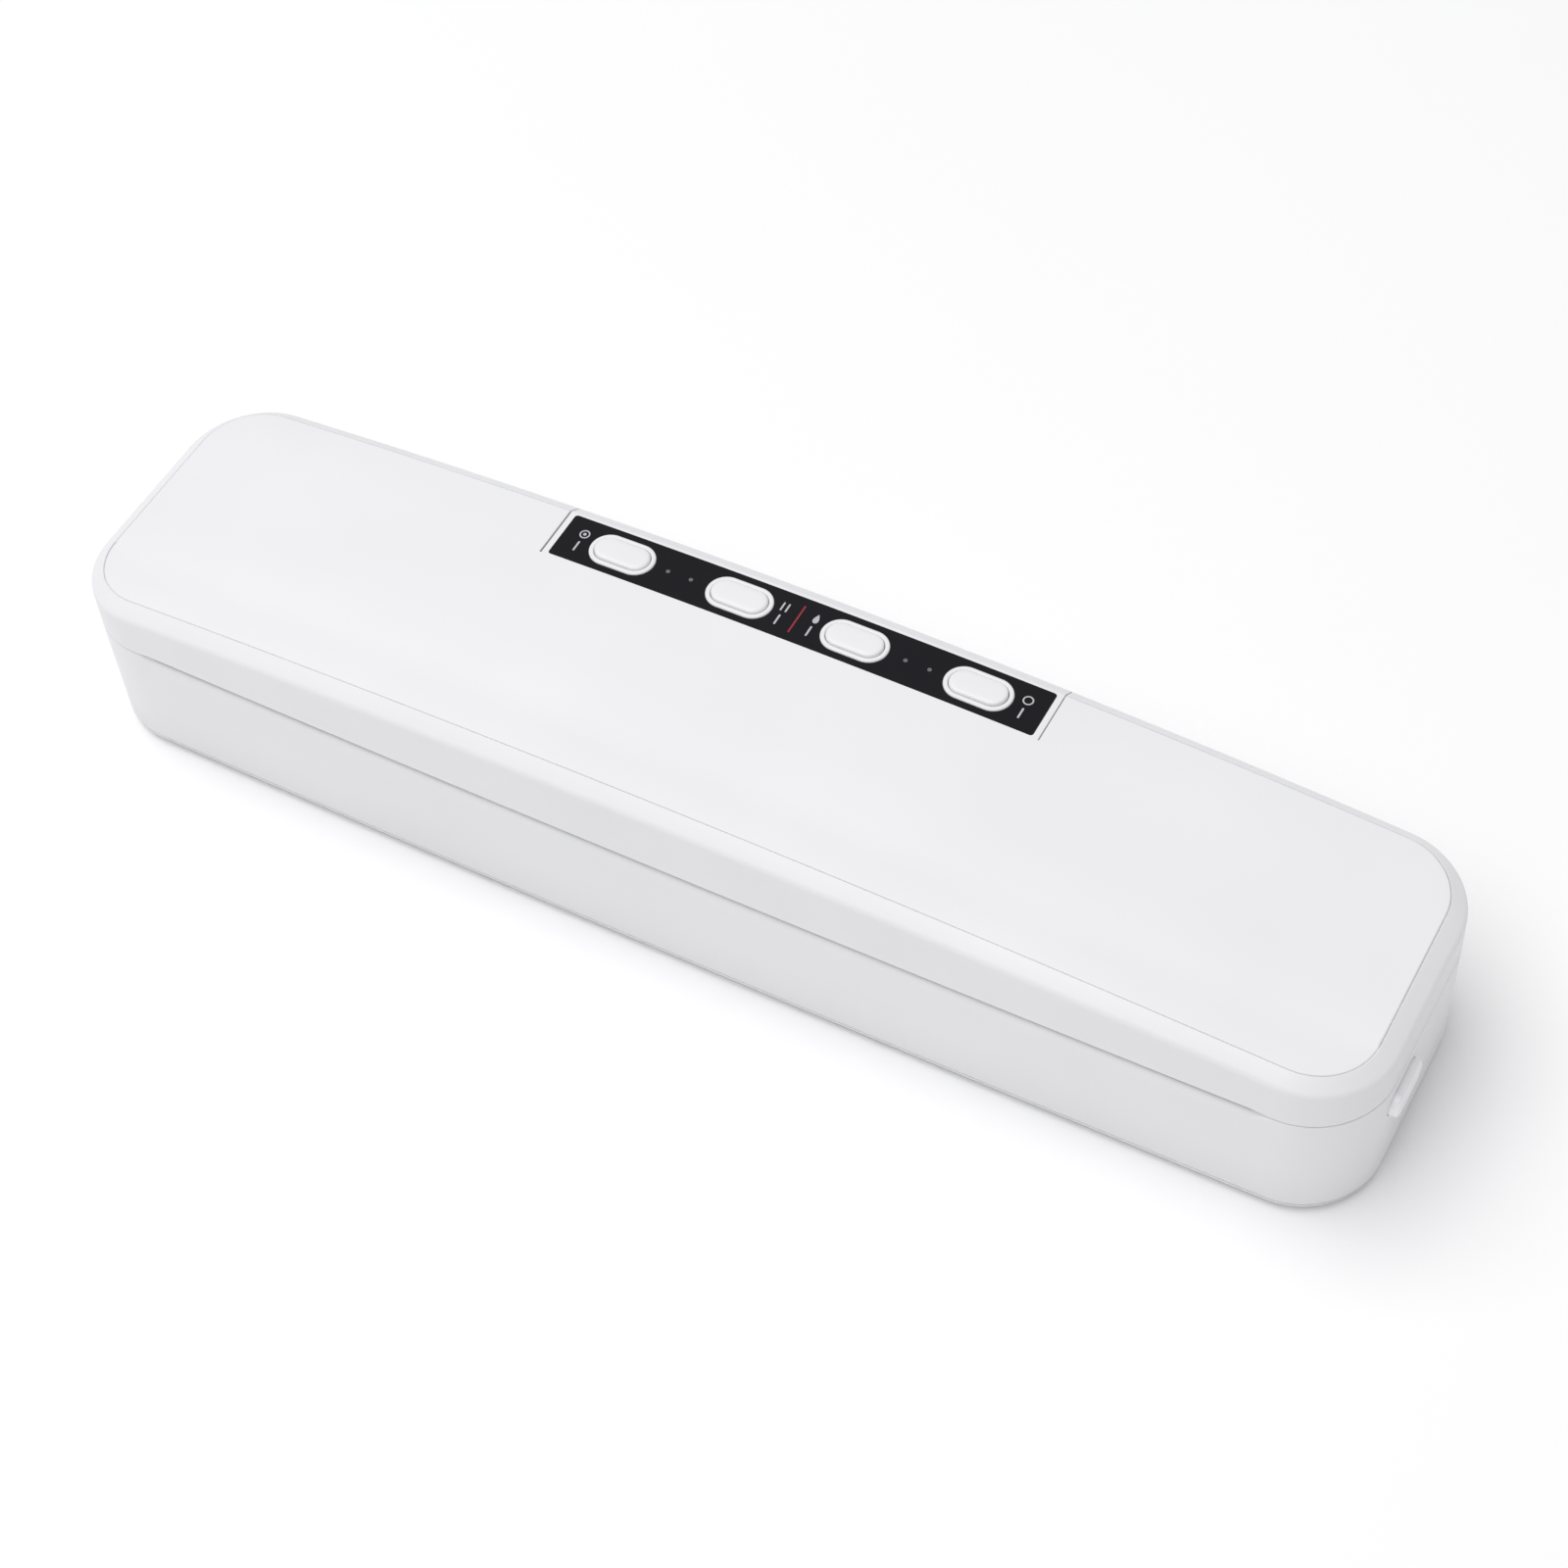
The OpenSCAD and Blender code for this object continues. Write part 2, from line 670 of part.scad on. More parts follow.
module power_inlet() {
    color(black) difference() {
        union() {
            block(inlet_x - 10.4, inlet_x + 10.4, inlet_y - 2.6, inlet_y, inlet_z - 5.9, inlet_z + 5.9);
            block(inlet_x - 9, inlet_x + 9, inlet_y - 15, inlet_y - 2.5, inlet_z - 5, inlet_z + 5);
        }
        translate([inlet_x, inlet_y + 1, inlet_z]) rotate([90, 0, 0]) obround(0, 0, 16.2, 7.6, 0, 11);
        for (s = [-1, 1]) translate([inlet_x + s * 4.3, inlet_y - 5, inlet_z]) rotate([90, 0, 0])
            cylinder(r = 1.2, h = 11);
    }
}

module inlet_pins() {
    color([0.8, 0.8, 0.82]) for (s = [-1, 1]) translate([inlet_x + s * 4.3, inlet_y - 1.6, inlet_z])
        rotate([90, 0, 0]) cylinder(r = 1.18, h = 17);
}

// ---- control strip ----

module control_housing() {
    color(white) {
        difference() {
            union() {
                intersection() {
                    loft([ring(0, base_rim_z), ring(0, edge_z, crown_h), seam_ring(0.2, seam_z)]);
                    block(-module_x, module_x, module_y, half_w + 5, base_rim_z - 1, 80);
                }
                block(-module_x, module_x, module_y, housing_y1, deck_z1, base_rim_z + 1);
            }
            block(-module_x + housing_t, module_x - housing_t, module_y + housing_t, housing_y1 - housing_t,
                deck_z1 - 1, housing_ceiling);
            overlay_body(0.1, -overlay_t, 3, false);
            for (x = button_xs) cap_hole(x);
            for (x = lens_xs) rod_z(x, button_y, lens_r, 50, 80);
        }
        for (x = button_xs) difference() {
            obround(x, button_y, collar_l, collar_w, top_z(x) - overlay_t - 0.3, top_z(x) + collar_up);
            cap_hole(x);
        }
        // posts with heat-staked pins that carry the key board
        for (p = key_board_spots) {
            rod_z(p.x, p.y, 2.2, key_board_top, housing_ceiling + 0.4);
            rod_z(p.x, p.y, 1.1, key_board_z - 0.8, key_board_top + 1);
        }
    }
}

module cap_hole(x) {
    obround(x, button_y, cap_l + 2 * cap_play, cap_w + 2 * cap_play, 50, 80);
}

// Plate that follows the crowned top, between two offsets from it.
module overlay_body(play, z0, z1, holes) {
    x1 = overlay_x + play;
    y0 = overlay_y0 - play;
    y1 = overlay_y1 + play;
    steps = 12;
    difference() {
        translate([0, y1, 0]) rotate([90, 0, 0]) linear_extrude(y1 - y0) polygon(concat(
            [for (i = [0:steps]) let (x = -x1 + 2 * x1 * i / steps) [x, top_z(x) + z0]],
            [for (i = [steps:-1:0]) let (x = -x1 + 2 * x1 * i / steps) [x, top_z(x) + z1]]));
        if (holes) {
            for (x = button_xs) obround(x, button_y, collar_l + 0.1, collar_w + 0.1, 50, 80);
            for (x = lens_xs) rod_z(x, button_y, lens_r, 50, 80);
        }
    }
}

module control_overlay() {
    color(black) overlay_body(0, -overlay_t, 0, true);
}

module button_cap(x) {
    top = top_z(x) + cap_up;
    flange_top = housing_ceiling - 0.1;
    color(white) {
        obround(x, button_y, cap_l - 1.6, cap_w - 1.6, top - 0.7, top);
        obround(x, button_y, cap_l, cap_w, flange_top - 0.1, top - 0.6);
        obround(x, button_y, cap_l + 2, cap_w + 2, flange_top - 1, flange_top);
        rod_z(x, button_y, 2, tact_top + button_travel + 0.05, flange_top - 0.9);
    }
}

module vacuum_button() { button_cap(-button_x2); }
module seal_button() { button_cap(-button_x1); }
module wet_button() { button_cap(button_x1); }
module dry_button() { button_cap(button_x2); }

module key_board() {
    color([0.1, 0.35, 0.2]) difference() {
        block(-70, 70, module_y + housing_t + 0.3, 38, key_board_z, key_board_top);
        for (p = key_board_spots) rod_z(p.x, p.y, 1.2, key_board_z - 1, key_board_top + 1);
    }
}

module tact_switches() {
    color([0.2, 0.2, 0.22]) for (x = button_xs) {
        block(x - 3, x + 3, button_y - 3, button_y + 3, key_board_top, tact_top - 1);
        rod_z(x, button_y, 1.7, tact_top - 1.1, tact_top);
    }
}

module indicator_lenses() {
    color([0.5, 0.5, 0.52]) for (x = lens_xs) rod_z(x, button_y, lens_r, 57, top_z(x) + 0.1);
}

module reed_switch() {
    color([0.3, 0.5, 0.4]) {
        rod_x(1.1, -97, -83, 20, 32.9);
        block(-98, -82, 18.4, 21.6, 33.4, deck_z0);
    }
}

// ---- hinge ----

module base_knuckles() {
    x0 = hinge_x0 + knuckle_l + knuckle_gap;
    x1 = hinge_x1 - knuckle_l - knuckle_gap;
    color(white) both_sides() difference() {
        union() {
            hinge_rod(knuckle_r, x0, x1);
            intersection() {
                hinge_rod(relief_r - 0.01, x0, x1);
                block(x0, x1, hinge_y - 2.6, hinge_y + 2.6, split_z - 6, split_z);
            }
        }
        hinge_rod(pin_r, x0 - 1, x1 + 1);
    }
}

module hinge_pins() {
    color([0.75, 0.75, 0.77]) both_sides() hinge_rod(pin_r, hinge_x0 + 0.3, hinge_x1 - 0.3);
}

module lid_knuckles() {
    color(white) both_sides() for (x = [hinge_x0, hinge_x1 - knuckle_l]) difference() {
        union() {
            hinge_rod(knuckle_r, x, x + knuckle_l);
            block(x, x + knuckle_l, hinge_y - 3, hinge_y + 2.7, split_z, knuckle_top);
        }
        hinge_rod(pin_r + pin_play, x - 1, x + knuckle_l + 1);
    }
}

// ---- end latches ----

module release_button(side) {
    color(white) {
        end_obround(side, release_l, 7.8, button_x0, half_l + release_up - 0.6);
        end_obround(side, release_l - 1.4, 6.4, half_l + release_up - 0.7, half_l + release_up);
    }
}

// Mirrors what belongs to the left end.
module on_side(side) {
    if (side > 0) children();
    else mirror([1, 0, 0]) children();
}

module latch_slider(side) {
    z0 = release_z - slider_h / 2;
    z1 = release_z + slider_h / 2;
    color([0.2, 0.2, 0.22]) on_side(side) difference() {
        block(slider_x0, button_x0, release_y - 9, release_y + 9, z0, z1);
        block(hook_x - 0.8, button_x0 - 3, release_y - 6.2, release_y + 6.2, z0 - 1, z1 + 1);
    }
}

// Helical compression spring along X, swept with a round wire.
module latch_spring(side) {
    turns = 4;
    per_turn = 10;
    coil_r = 1.8;
    wire_r = 0.35;
    x1 = slider_x0 - wire_r;
    n = turns * per_turn;
    color([0.7, 0.7, 0.72]) on_side(side) translate([0, release_y, release_z]) polyhedron(
        points = [for (i = [0:n]) let (t = 360 * i / per_turn, x = spring_x0 + (x1 - spring_x0) * i / n)
            for (k = [0:5]) let (a = 60 * k, q = coil_r + wire_r * cos(a))
                [x + wire_r * sin(a), q * cos(t), q * sin(t)]],
        faces = concat([[for (k = [0:5]) 5 - k]], [[for (k = [0:5]) n * 6 + k]],
            [for (i = [0:n - 1], k = [0:5]) let (a = i * 6, b = a + 6, k2 = (k + 1) % 6)
                each [[a + k, a + k2, b + k2], [a + k, b + k2, b + k]]]));
}

module release_button_left() { release_button(-1); }
module latch_slider_left() { latch_slider(-1); }
module latch_spring_left() { latch_spring(-1); }
module release_button_right() { release_button(1); }
module latch_slider_right() { latch_slider(1); }
module latch_spring_right() { latch_spring(1); }

// ---- lid ----

module lid_shell() {
    color(white) difference() {
        union() {
            difference() {
                loft([ring(tuck, lid_rim_z), ring(0, edge_z, crown_h), seam_ring(panel_gap, seam_z),
                    seam_ring(panel_gap, seam_z - pocket_h)]);
                difference() {
                    loft([ring(wall, lid_rim_z - 1), ring(wall, ceiling_z, crown_h)]);
                    notch(1.6);
                    for (p = liner_screw_spots) rod_z(p.x, p.y, 3, liner_z0 + liner_t, 80);
                }
            }
            // rounded rear edge that turns in the base's trough
            intersection() {
                loft([ring(tuck, split_z - 6), ring(tuck / 2, lid_rim_z + 0.5)]);
                both_sides() hinge_rod(skirt_r, relief_x0 + 0.3, relief_x1 - 0.3);
                both_sides()
                    block(relief_x0, relief_x1, hinge_y - 5, half_w + 5, split_z - 6, lid_rim_z + 0.5);
            }
        }
        notch(0);
        both_sides()
            block(hinge_x0 - 0.3, hinge_x1 + 0.3, hinge_y - 4.2, half_w + 5, split_z - 6, knuckle_top);
        block(-mouth_x, mouth_x, -half_w - 3, -half_w + 4.5, lid_rim_z - 1, mouth_z1);
        for (p = liner_screw_spots) rod_z(p.x, p.y, 1.1, liner_z0, liner_z0 + liner_t + 5);
    }
}

module lid_panel() {
    color([0.95, 0.95, 0.96]) difference() {
        loft([seam_ring(0, seam_z - pocket_h), seam_ring(0, seam_z + panel_up)]);
        notch(0.3);
    }
}

module lid_liner() {
    edge = wall + 0.2;
    color([0.85, 0.85, 0.87]) difference() {
        intersection() {
            plan(half_l - edge, half_w - edge, corner_r - edge, liner_z0, liner_z0 + liner_t);
            block(-half_l, half_l, -half_w - 3, hinge_y - 4.4, liner_z0 - 1, liner_z0 + 5);
        }
        notch(1.9);
        trough_ring(0.1, liner_z0 - 1, liner_z0 + liner_groove);
        obround(0, heater_y, heater_l - 1.8, 6.2, liner_z0 - 1, liner_z0 + liner_groove);
        both_sides()
            block(hook_x - 3, hook_x + 3, release_y - 5, release_y + 5, liner_z0 - 1, liner_z0 + 0.6);
        for (p = liner_screw_spots) rod_z(p.x, p.y, 1.4, liner_z0 - 1, liner_z0 + 5);
    }
}

module upper_gasket() {
    color([0.2, 0.2, 0.22]) trough_ring(0, gasket_split + gasket_gap / 2, liner_z0 + liner_groove);
}

module seal_press_strip() {
    color([0.25, 0.25, 0.28]) obround(0, heater_y, heater_l - 2, 6, 40.5, liner_z0 + liner_groove);
}

module lid_hooks() {
    hook_z = 34.2;
    half = 4.8;
    color([0.85, 0.85, 0.87]) both_sides() {
        block(hook_x - 2.8, hook_x + 2.8, release_y - half, release_y + half, liner_z0 - 0.6, liner_z0 + 0.6);
        block(hook_x, hook_x + 1.6, release_y - half, release_y + half, hook_z, liner_z0);
        translate([hook_x, release_y + half, hook_z]) rotate([90, 0, 0]) linear_extrude(2 * half)
            polygon([[0.1, 0], [-0.6, 0], [-1.6, 1.4], [-1.6, 2], [0.1, 2.4]]);
    }
}

module liner_screws() {
    color([0.6, 0.6, 0.62]) for (p = liner_screw_spots)
        screw(p.x, p.y, liner_z0, 2.3, 1, 1.1, 6, -1);
}

module lid_magnet() {
    color([0.4, 0.4, 0.42]) rod_z(-90, 20, 3, liner_z0 + liner_t, liner_z0 + liner_t + 2.5);
}

base_shell();
bottom_cover();
rubber_feet();
cover_screws();
deck_plate();
deck_screws();
drip_tray();
lower_gasket();
heater_bar();
heating_element();
heater_tape();
heater_terminals();
suction_nozzle();
pump_motor();
pump_head();
pump_cradle();
pump_shaft();
pump_eccentric();
air_hose();
hose_tee();
release_valve();
main_board();
board_screws();
transformer();
board_capacitors();
relay();
heat_sink();
terminal_block();
power_inlet();
inlet_pins();
control_housing();
control_overlay();
key_board();
tact_switches();
indicator_lenses();
vacuum_button();
seal_button();
wet_button();
dry_button();
reed_switch();
base_knuckles();
hinge_pins();
release_button_left();
latch_slider_left();
latch_spring_left();
release_button_right();
latch_slider_right();
latch_spring_right();
lid_shell();
lid_panel();
lid_liner();
upper_gasket();
seal_press_strip();
lid_hooks();
lid_knuckles();
liner_screws();
lid_magnet();
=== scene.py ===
"""Looks of the vacuum sealer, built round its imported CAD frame.

The visible mouldings are rebuilt here as smooth closed meshes: most are lofts of the same rounded,
bowed outline, and their cross-sections are short profiles. Lengths are in millimetres until a mesh
is made. The long sides run along X, the hinge is at the rear (+Y), and the bag mouth at the front.
"""

import json
import math

import bmesh
import bpy
from mathutils import Matrix, Vector


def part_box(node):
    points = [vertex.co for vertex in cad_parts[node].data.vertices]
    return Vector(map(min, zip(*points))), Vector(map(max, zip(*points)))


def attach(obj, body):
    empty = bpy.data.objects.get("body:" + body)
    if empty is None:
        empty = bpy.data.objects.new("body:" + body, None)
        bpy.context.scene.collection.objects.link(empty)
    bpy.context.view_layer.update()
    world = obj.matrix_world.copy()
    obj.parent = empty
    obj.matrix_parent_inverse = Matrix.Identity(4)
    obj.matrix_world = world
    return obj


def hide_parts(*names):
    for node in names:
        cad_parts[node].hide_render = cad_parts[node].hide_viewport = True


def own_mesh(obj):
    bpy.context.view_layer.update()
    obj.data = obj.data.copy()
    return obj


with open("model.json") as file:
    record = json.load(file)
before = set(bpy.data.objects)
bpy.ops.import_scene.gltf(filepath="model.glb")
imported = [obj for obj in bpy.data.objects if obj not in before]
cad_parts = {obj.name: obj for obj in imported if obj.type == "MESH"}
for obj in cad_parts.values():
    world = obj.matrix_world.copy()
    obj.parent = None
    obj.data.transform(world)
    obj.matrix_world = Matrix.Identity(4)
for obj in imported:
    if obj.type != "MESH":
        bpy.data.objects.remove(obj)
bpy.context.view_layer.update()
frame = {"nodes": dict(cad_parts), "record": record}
NODES = frame["nodes"]
MM = 0.001


def node_box(node):
    """Lowest and highest corner of a CAD node in millimetres."""
    low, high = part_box(node)
    return low / MM, high / MM


# ---- sizes: read from the frame, or shared with it ----

base_low, base_high = node_box("base_shell")
housing_low, housing_high = node_box("control_housing")
overlay_low, overlay_high = node_box("control_overlay")
button_low, button_high = node_box("release_button_right")
inlet_low, inlet_high = node_box("power_inlet")

BOW = 1.4  # how far the long sides bow out at mid-length
CROWN = 7.4  # how far the top arches up at mid-length
HALF_L = base_high.x
HALF_W = base_high.y - BOW
CORNER_R = 22.3
WALL = 2.2
TAPER = 0.4  # how far the base wall draws in towards its foot
BASE_RIM = base_high.z
BASE_FOOT = base_low.z + 0.4
COVER_TOP = base_low.z
COVER_LOW = node_box("bottom_cover")[0].z
LID_RIM = BASE_RIM + 0.4

EDGE_Z = 52.5  # where the lid's wall meets its bevel, at the ends
SEAM_Z = node_box("lid_shell")[1].z - CROWN  # seam round the top panel, at the ends
PANEL_L = node_box("lid_panel")[1].x
PANEL_W = 37.7
PANEL_R = 16.7
SEAM_GAP = 0.25
POCKET = 1.5  # depth of the lid's pocket for the top panel
CREASE_Y = -21.4  # faint line along the front of the top panel

MOUTH_X = 165  # half length of the bag mouth
MOUTH_PAST = 2  # how far its lips run out past that
MOUTH_FADE = 5  # length over which they run out
MOUTH_Y = -30  # only the front wall has a mouth
MOUTH_UP = 0.55
MOUTH_DOWN = 0.7

HINGE_Y = 40.2
HINGE_Z = 40.7
SKIRT_R = 3.7
TROUGH_R = 4
HOUSING_X = housing_high.x
HOUSING_Y = housing_low.y
TROUGH_X = (HOUSING_X + 0.3, 177.8)
SKIRT_X = (HOUSING_X + 0.6, 177.5)
KNUCKLE_X = (83.7, 124.3)
NOTCH_X = HOUSING_X + 0.42
NOTCH_GAP = 0.14

OVERLAY_X = overlay_high.x
OVERLAY_Y = (overlay_low.y, overlay_high.y)
BUTTON_Y = sum(OVERLAY_Y) / 2
BUTTONS = {"vacuum": -53.1, "seal": -17.2, "wet": 17.2, "dry": 53.1}
CAP = (16.4, 8)
CAP_UP = 1.2
COLLAR = (19.4, 11)

RELEASE_Y = (button_low.y + button_high.y) / 2
RELEASE_Z = (button_low.z + button_high.z) / 2
RELEASE = (button_high.y - button_low.y, button_high.z - button_low.z)


def arch(x):
    """Share of the full bow or crown at a distance x from the middle."""
    return 1 - (x / HALF_L) ** 2


def bowed(x):
    """How many times wider the outline is at x than at its ends."""
    return 1 + BOW * arch(x) / HALF_W


def top_z(x):
    """Height of the crowned top at the seam."""
    return SEAM_Z + CROWN * arch(x)


def above(offset):
    """Height measured from the crowned top."""
    return lambda x, y: top_z(x) + offset


def smooth(t):
    """0 to 1 with level ends."""
    t = min(1, max(0, t))
    return t * t * (3 - 2 * t)


def lifted(x, y, z):
    """A point whose height z is a number or a function of x and y."""
    return (x, y, z(x, y) if callable(z) else z)


# ---- mesh objects and booleans ----

SHARP = 35  # degrees above which an edge is shaded sharp


def new_object(name, data):
    obj = bpy.data.objects.new(name, data)
    bpy.context.scene.collection.objects.link(obj)
    return obj


def settle(obj, sharp=SHARP):
    """Merges doubled points, points the normals outwards and shades smooth between sharp edges."""
    bm = bmesh.new()
    bm.from_mesh(obj.data)
    bmesh.ops.remove_doubles(bm, verts=bm.verts, dist=1e-7)
    bmesh.ops.dissolve_degenerate(bm, edges=bm.edges, dist=1e-7)
    bmesh.ops.recalc_face_normals(bm, faces=bm.faces)
    bm.to_mesh(obj.data)
    bm.free()
    obj.data.shade_smooth()
    obj.data.set_sharp_from_angle(angle=math.radians(sharp))
    return obj


def make(name, points, faces, sharp=SHARP):
    """A mesh object in metres from points in millimetres."""
    mesh = bpy.data.meshes.new(name)
    mesh.from_pydata([[c * MM for c in p] for p in points], [], faces)
    return settle(new_object(name, mesh), sharp)


def apply_modifiers(obj):
    depsgraph = bpy.context.evaluated_depsgraph_get()
    mesh = bpy.data.meshes.new_from_object(obj.evaluated_get(depsgraph))
    obj.modifiers.clear()
    obj.data = mesh
    return settle(obj)


def combine(obj, other, how):
    """Boolean with another object, which is used up."""
    mod = obj.modifiers.new("boolean", "BOOLEAN")
    mod.operation = how
    mod.solver = "MANIFOLD"
    mod.object = other
    apply_modifiers(obj)
    bpy.data.objects.remove(other)
    return obj


def cut(obj, other):
    return combine(obj, other, "DIFFERENCE")


def add(obj, other):
    return combine(obj, other, "UNION")


def add_bevel(obj, width, segments, limit):
    """Modifier that rounds the edges sharper than limit degrees."""
    mod = obj.modifiers.new("edge", "BEVEL")
    mod.width = width * MM
    mod.segments = segments
    mod.limit_method = "ANGLE"
    mod.angle_limit = math.radians(limit)


def mirrored(obj):
    """Mirror image of an object in the plane x = 0."""
    twin = new_object(obj.name + "_twin", obj.data.copy())
    twin.data.transform(Matrix.Scale(-1, 4, (1, 0, 0)))
    twin.data.flip_normals()
    return twin


def both(tool):
    """A tool and its mirror image in X, joined."""
    return add(tool, mirrored(tool))


def join(name, *objs):
    """One object out of several closed meshes that don't touch."""
    bm = bmesh.new()
    for obj in objs:
        bm.from_mesh(obj.data)
    mesh = bpy.data.meshes.new(name)
    bm.to_mesh(mesh)
    bm.free()
    for obj in objs:
        bpy.data.objects.remove(obj)
    return settle(new_object(name, mesh))


# ---- outlines ----


def circle(r, steps=64):
    turns = [2 * math.pi * i / steps for i in range(steps)]
    return [(r * math.cos(t), r * math.sin(t)) for t in turns]


def obround(length, width, inset=0, steps=24):
    """Outline with half-round ends, long along X."""
    r = width / 2 - inset
    c = (length - width) / 2
    half = [-math.pi / 2 + math.pi * i / steps for i in range(steps + 1)]
    right = [(c + r * math.cos(t), r * math.sin(t)) for t in half]
    return right + [(-x, -y) for x, y in right]


def rounded_rect(x0, x1, y0, y1, r, steps=8):
    corners = ((x1 - r, y0 + r, -90), (x1 - r, y1 - r, 0), (x0 + r, y1 - r, 90), (x0 + r, y0 + r, 180))
    out = []
    for cx, cy, start in corners:
        for i in range(steps + 1):
            t = math.radians(start + 90 * i / steps)
            out.append((cx + r * math.cos(t), cy + r * math.sin(t)))
    return out


def moved(outline, dx, dy):
    return [(x + dx, y + dy) for x, y in outline]


def at(x, outline):
    """An outline moved to the button line at a station x."""
    return moved(outline, x, BUTTON_Y)


def fillet(r, steps=5):
    """(inset, drop) pairs of a quarter round, from the side wall to the top."""
    turns = [math.pi / 2 * i / steps for i in range(steps + 1)]
    return [(r - r * math.cos(t), r - r * math.sin(t)) for t in turns]


def rounded_path(points, cuts, steps=6):
    """Polyline with rounded inner corners; cuts gives how much of the sides each rounding takes."""
    out = [points[0]]
    for before, corner, after, length in zip(points, points[1:], points[2:], cuts):
        before, corner, after = Vector(before), Vector(corner), Vector(after)
        one = corner + (before - corner).normalized() * length
        two = corner + (after - corner).normalized() * length
        for i in range(steps + 1):
            t = i / steps
            out.append(tuple(one * (1 - t) ** 2 + corner * 2 * t * (1 - t) + two * t * t))
    out.append(points[-1])
    return out


# ---- solids made of rings ----

OVERLAP = 0.1  # how far solids reach into each other before they are joined


def solid(name, rings, closed=False, sharp=SHARP):
    """Loft through rings of 3-D points, capped at its ends or closed into a loop."""
    n, count = len(rings[0]), len(rings)
    faces = []
    for k in range(count if closed else count - 1):
        p, q = k * n, (k + 1) % count * n
        faces += [(p + i, p + (i + 1) % n, q + (i + 1) % n, q + i) for i in range(n)]
    if not closed:
        faces += [tuple(range(n))[::-1], tuple(range((count - 1) * n, count * n))]
    return make(name, [point for ring in rings for point in ring], faces, sharp)


def stack(name, outlines, closed=False):
    """Upright loft through outlines with the same number of points, each with its height."""
    return solid(name, [[lifted(x, y, z) for x, y in ring] for ring, z in outlines], closed)


def prism(name, outline, z0, z1):
    return stack(name, [(outline, z0), (outline, z1)])


def block(name, x0, x1, y0, y1, z0, z1):
    return prism(name, [(x0, y0), (x1, y0), (x1, y1), (x0, y1)], z0, z1)


def rod_x(name, r, x0, x1, y, z):
    """Round rod along X."""
    return solid(name, [[(x, y + p, z + q) for p, q in circle(r, 96)] for x in (x0, x1)])


def rear_bar(name, x0, x1, section):
    """Bar along X; section gives its (y, z) points at a station x."""
    count = 60
    xs = [x0 + (x1 - x0) * i / count for i in range(count + 1)]
    return solid(name, [[(x, y, z) for y, z in section(x)] for x in xs])


def end_solid(name, rings):
    """Solid in the right end wall, from outlines long along Y at given x."""
    return solid(name, [[(x, RELEASE_Y + p, RELEASE_Z + q) for p, q in ring] for ring, x in rings])


# ---- rounded outline with bowed long sides ----

CORNER_STEPS = 20
SIDE_STEPS = 112
FINE_X, FINE_STEP, FINE_COUNT = 159, 0.5, 17  # finer stations at the ends of the mouth
FINE_MARGIN = 0.2
ROWS = [0, 0.12, 0.25, 0.4, 0.55, 0.7, 0.85, 1]  # rows of a closing grid, front to rear
CREASE_SPLIT = 0.02  # half distance of the two crease rows, as a share of the half width
CREASE_FRONT = 0.94  # the crease stays behind this share of the half width


def stations():
    """Shares of the straight half length, close together where a rim changes height."""
    half = HALF_L - CORNER_R
    xs = {round(half * (2 * i / SIDE_STEPS - 1), 3) for i in range(SIDE_STEPS + 1)}
    for i in range(FINE_COUNT):
        x = FINE_X + FINE_STEP * i
        if x < half - FINE_MARGIN:
            xs |= {x, -x}
    return sorted(x / half for x in xs)


SIDE = stations()


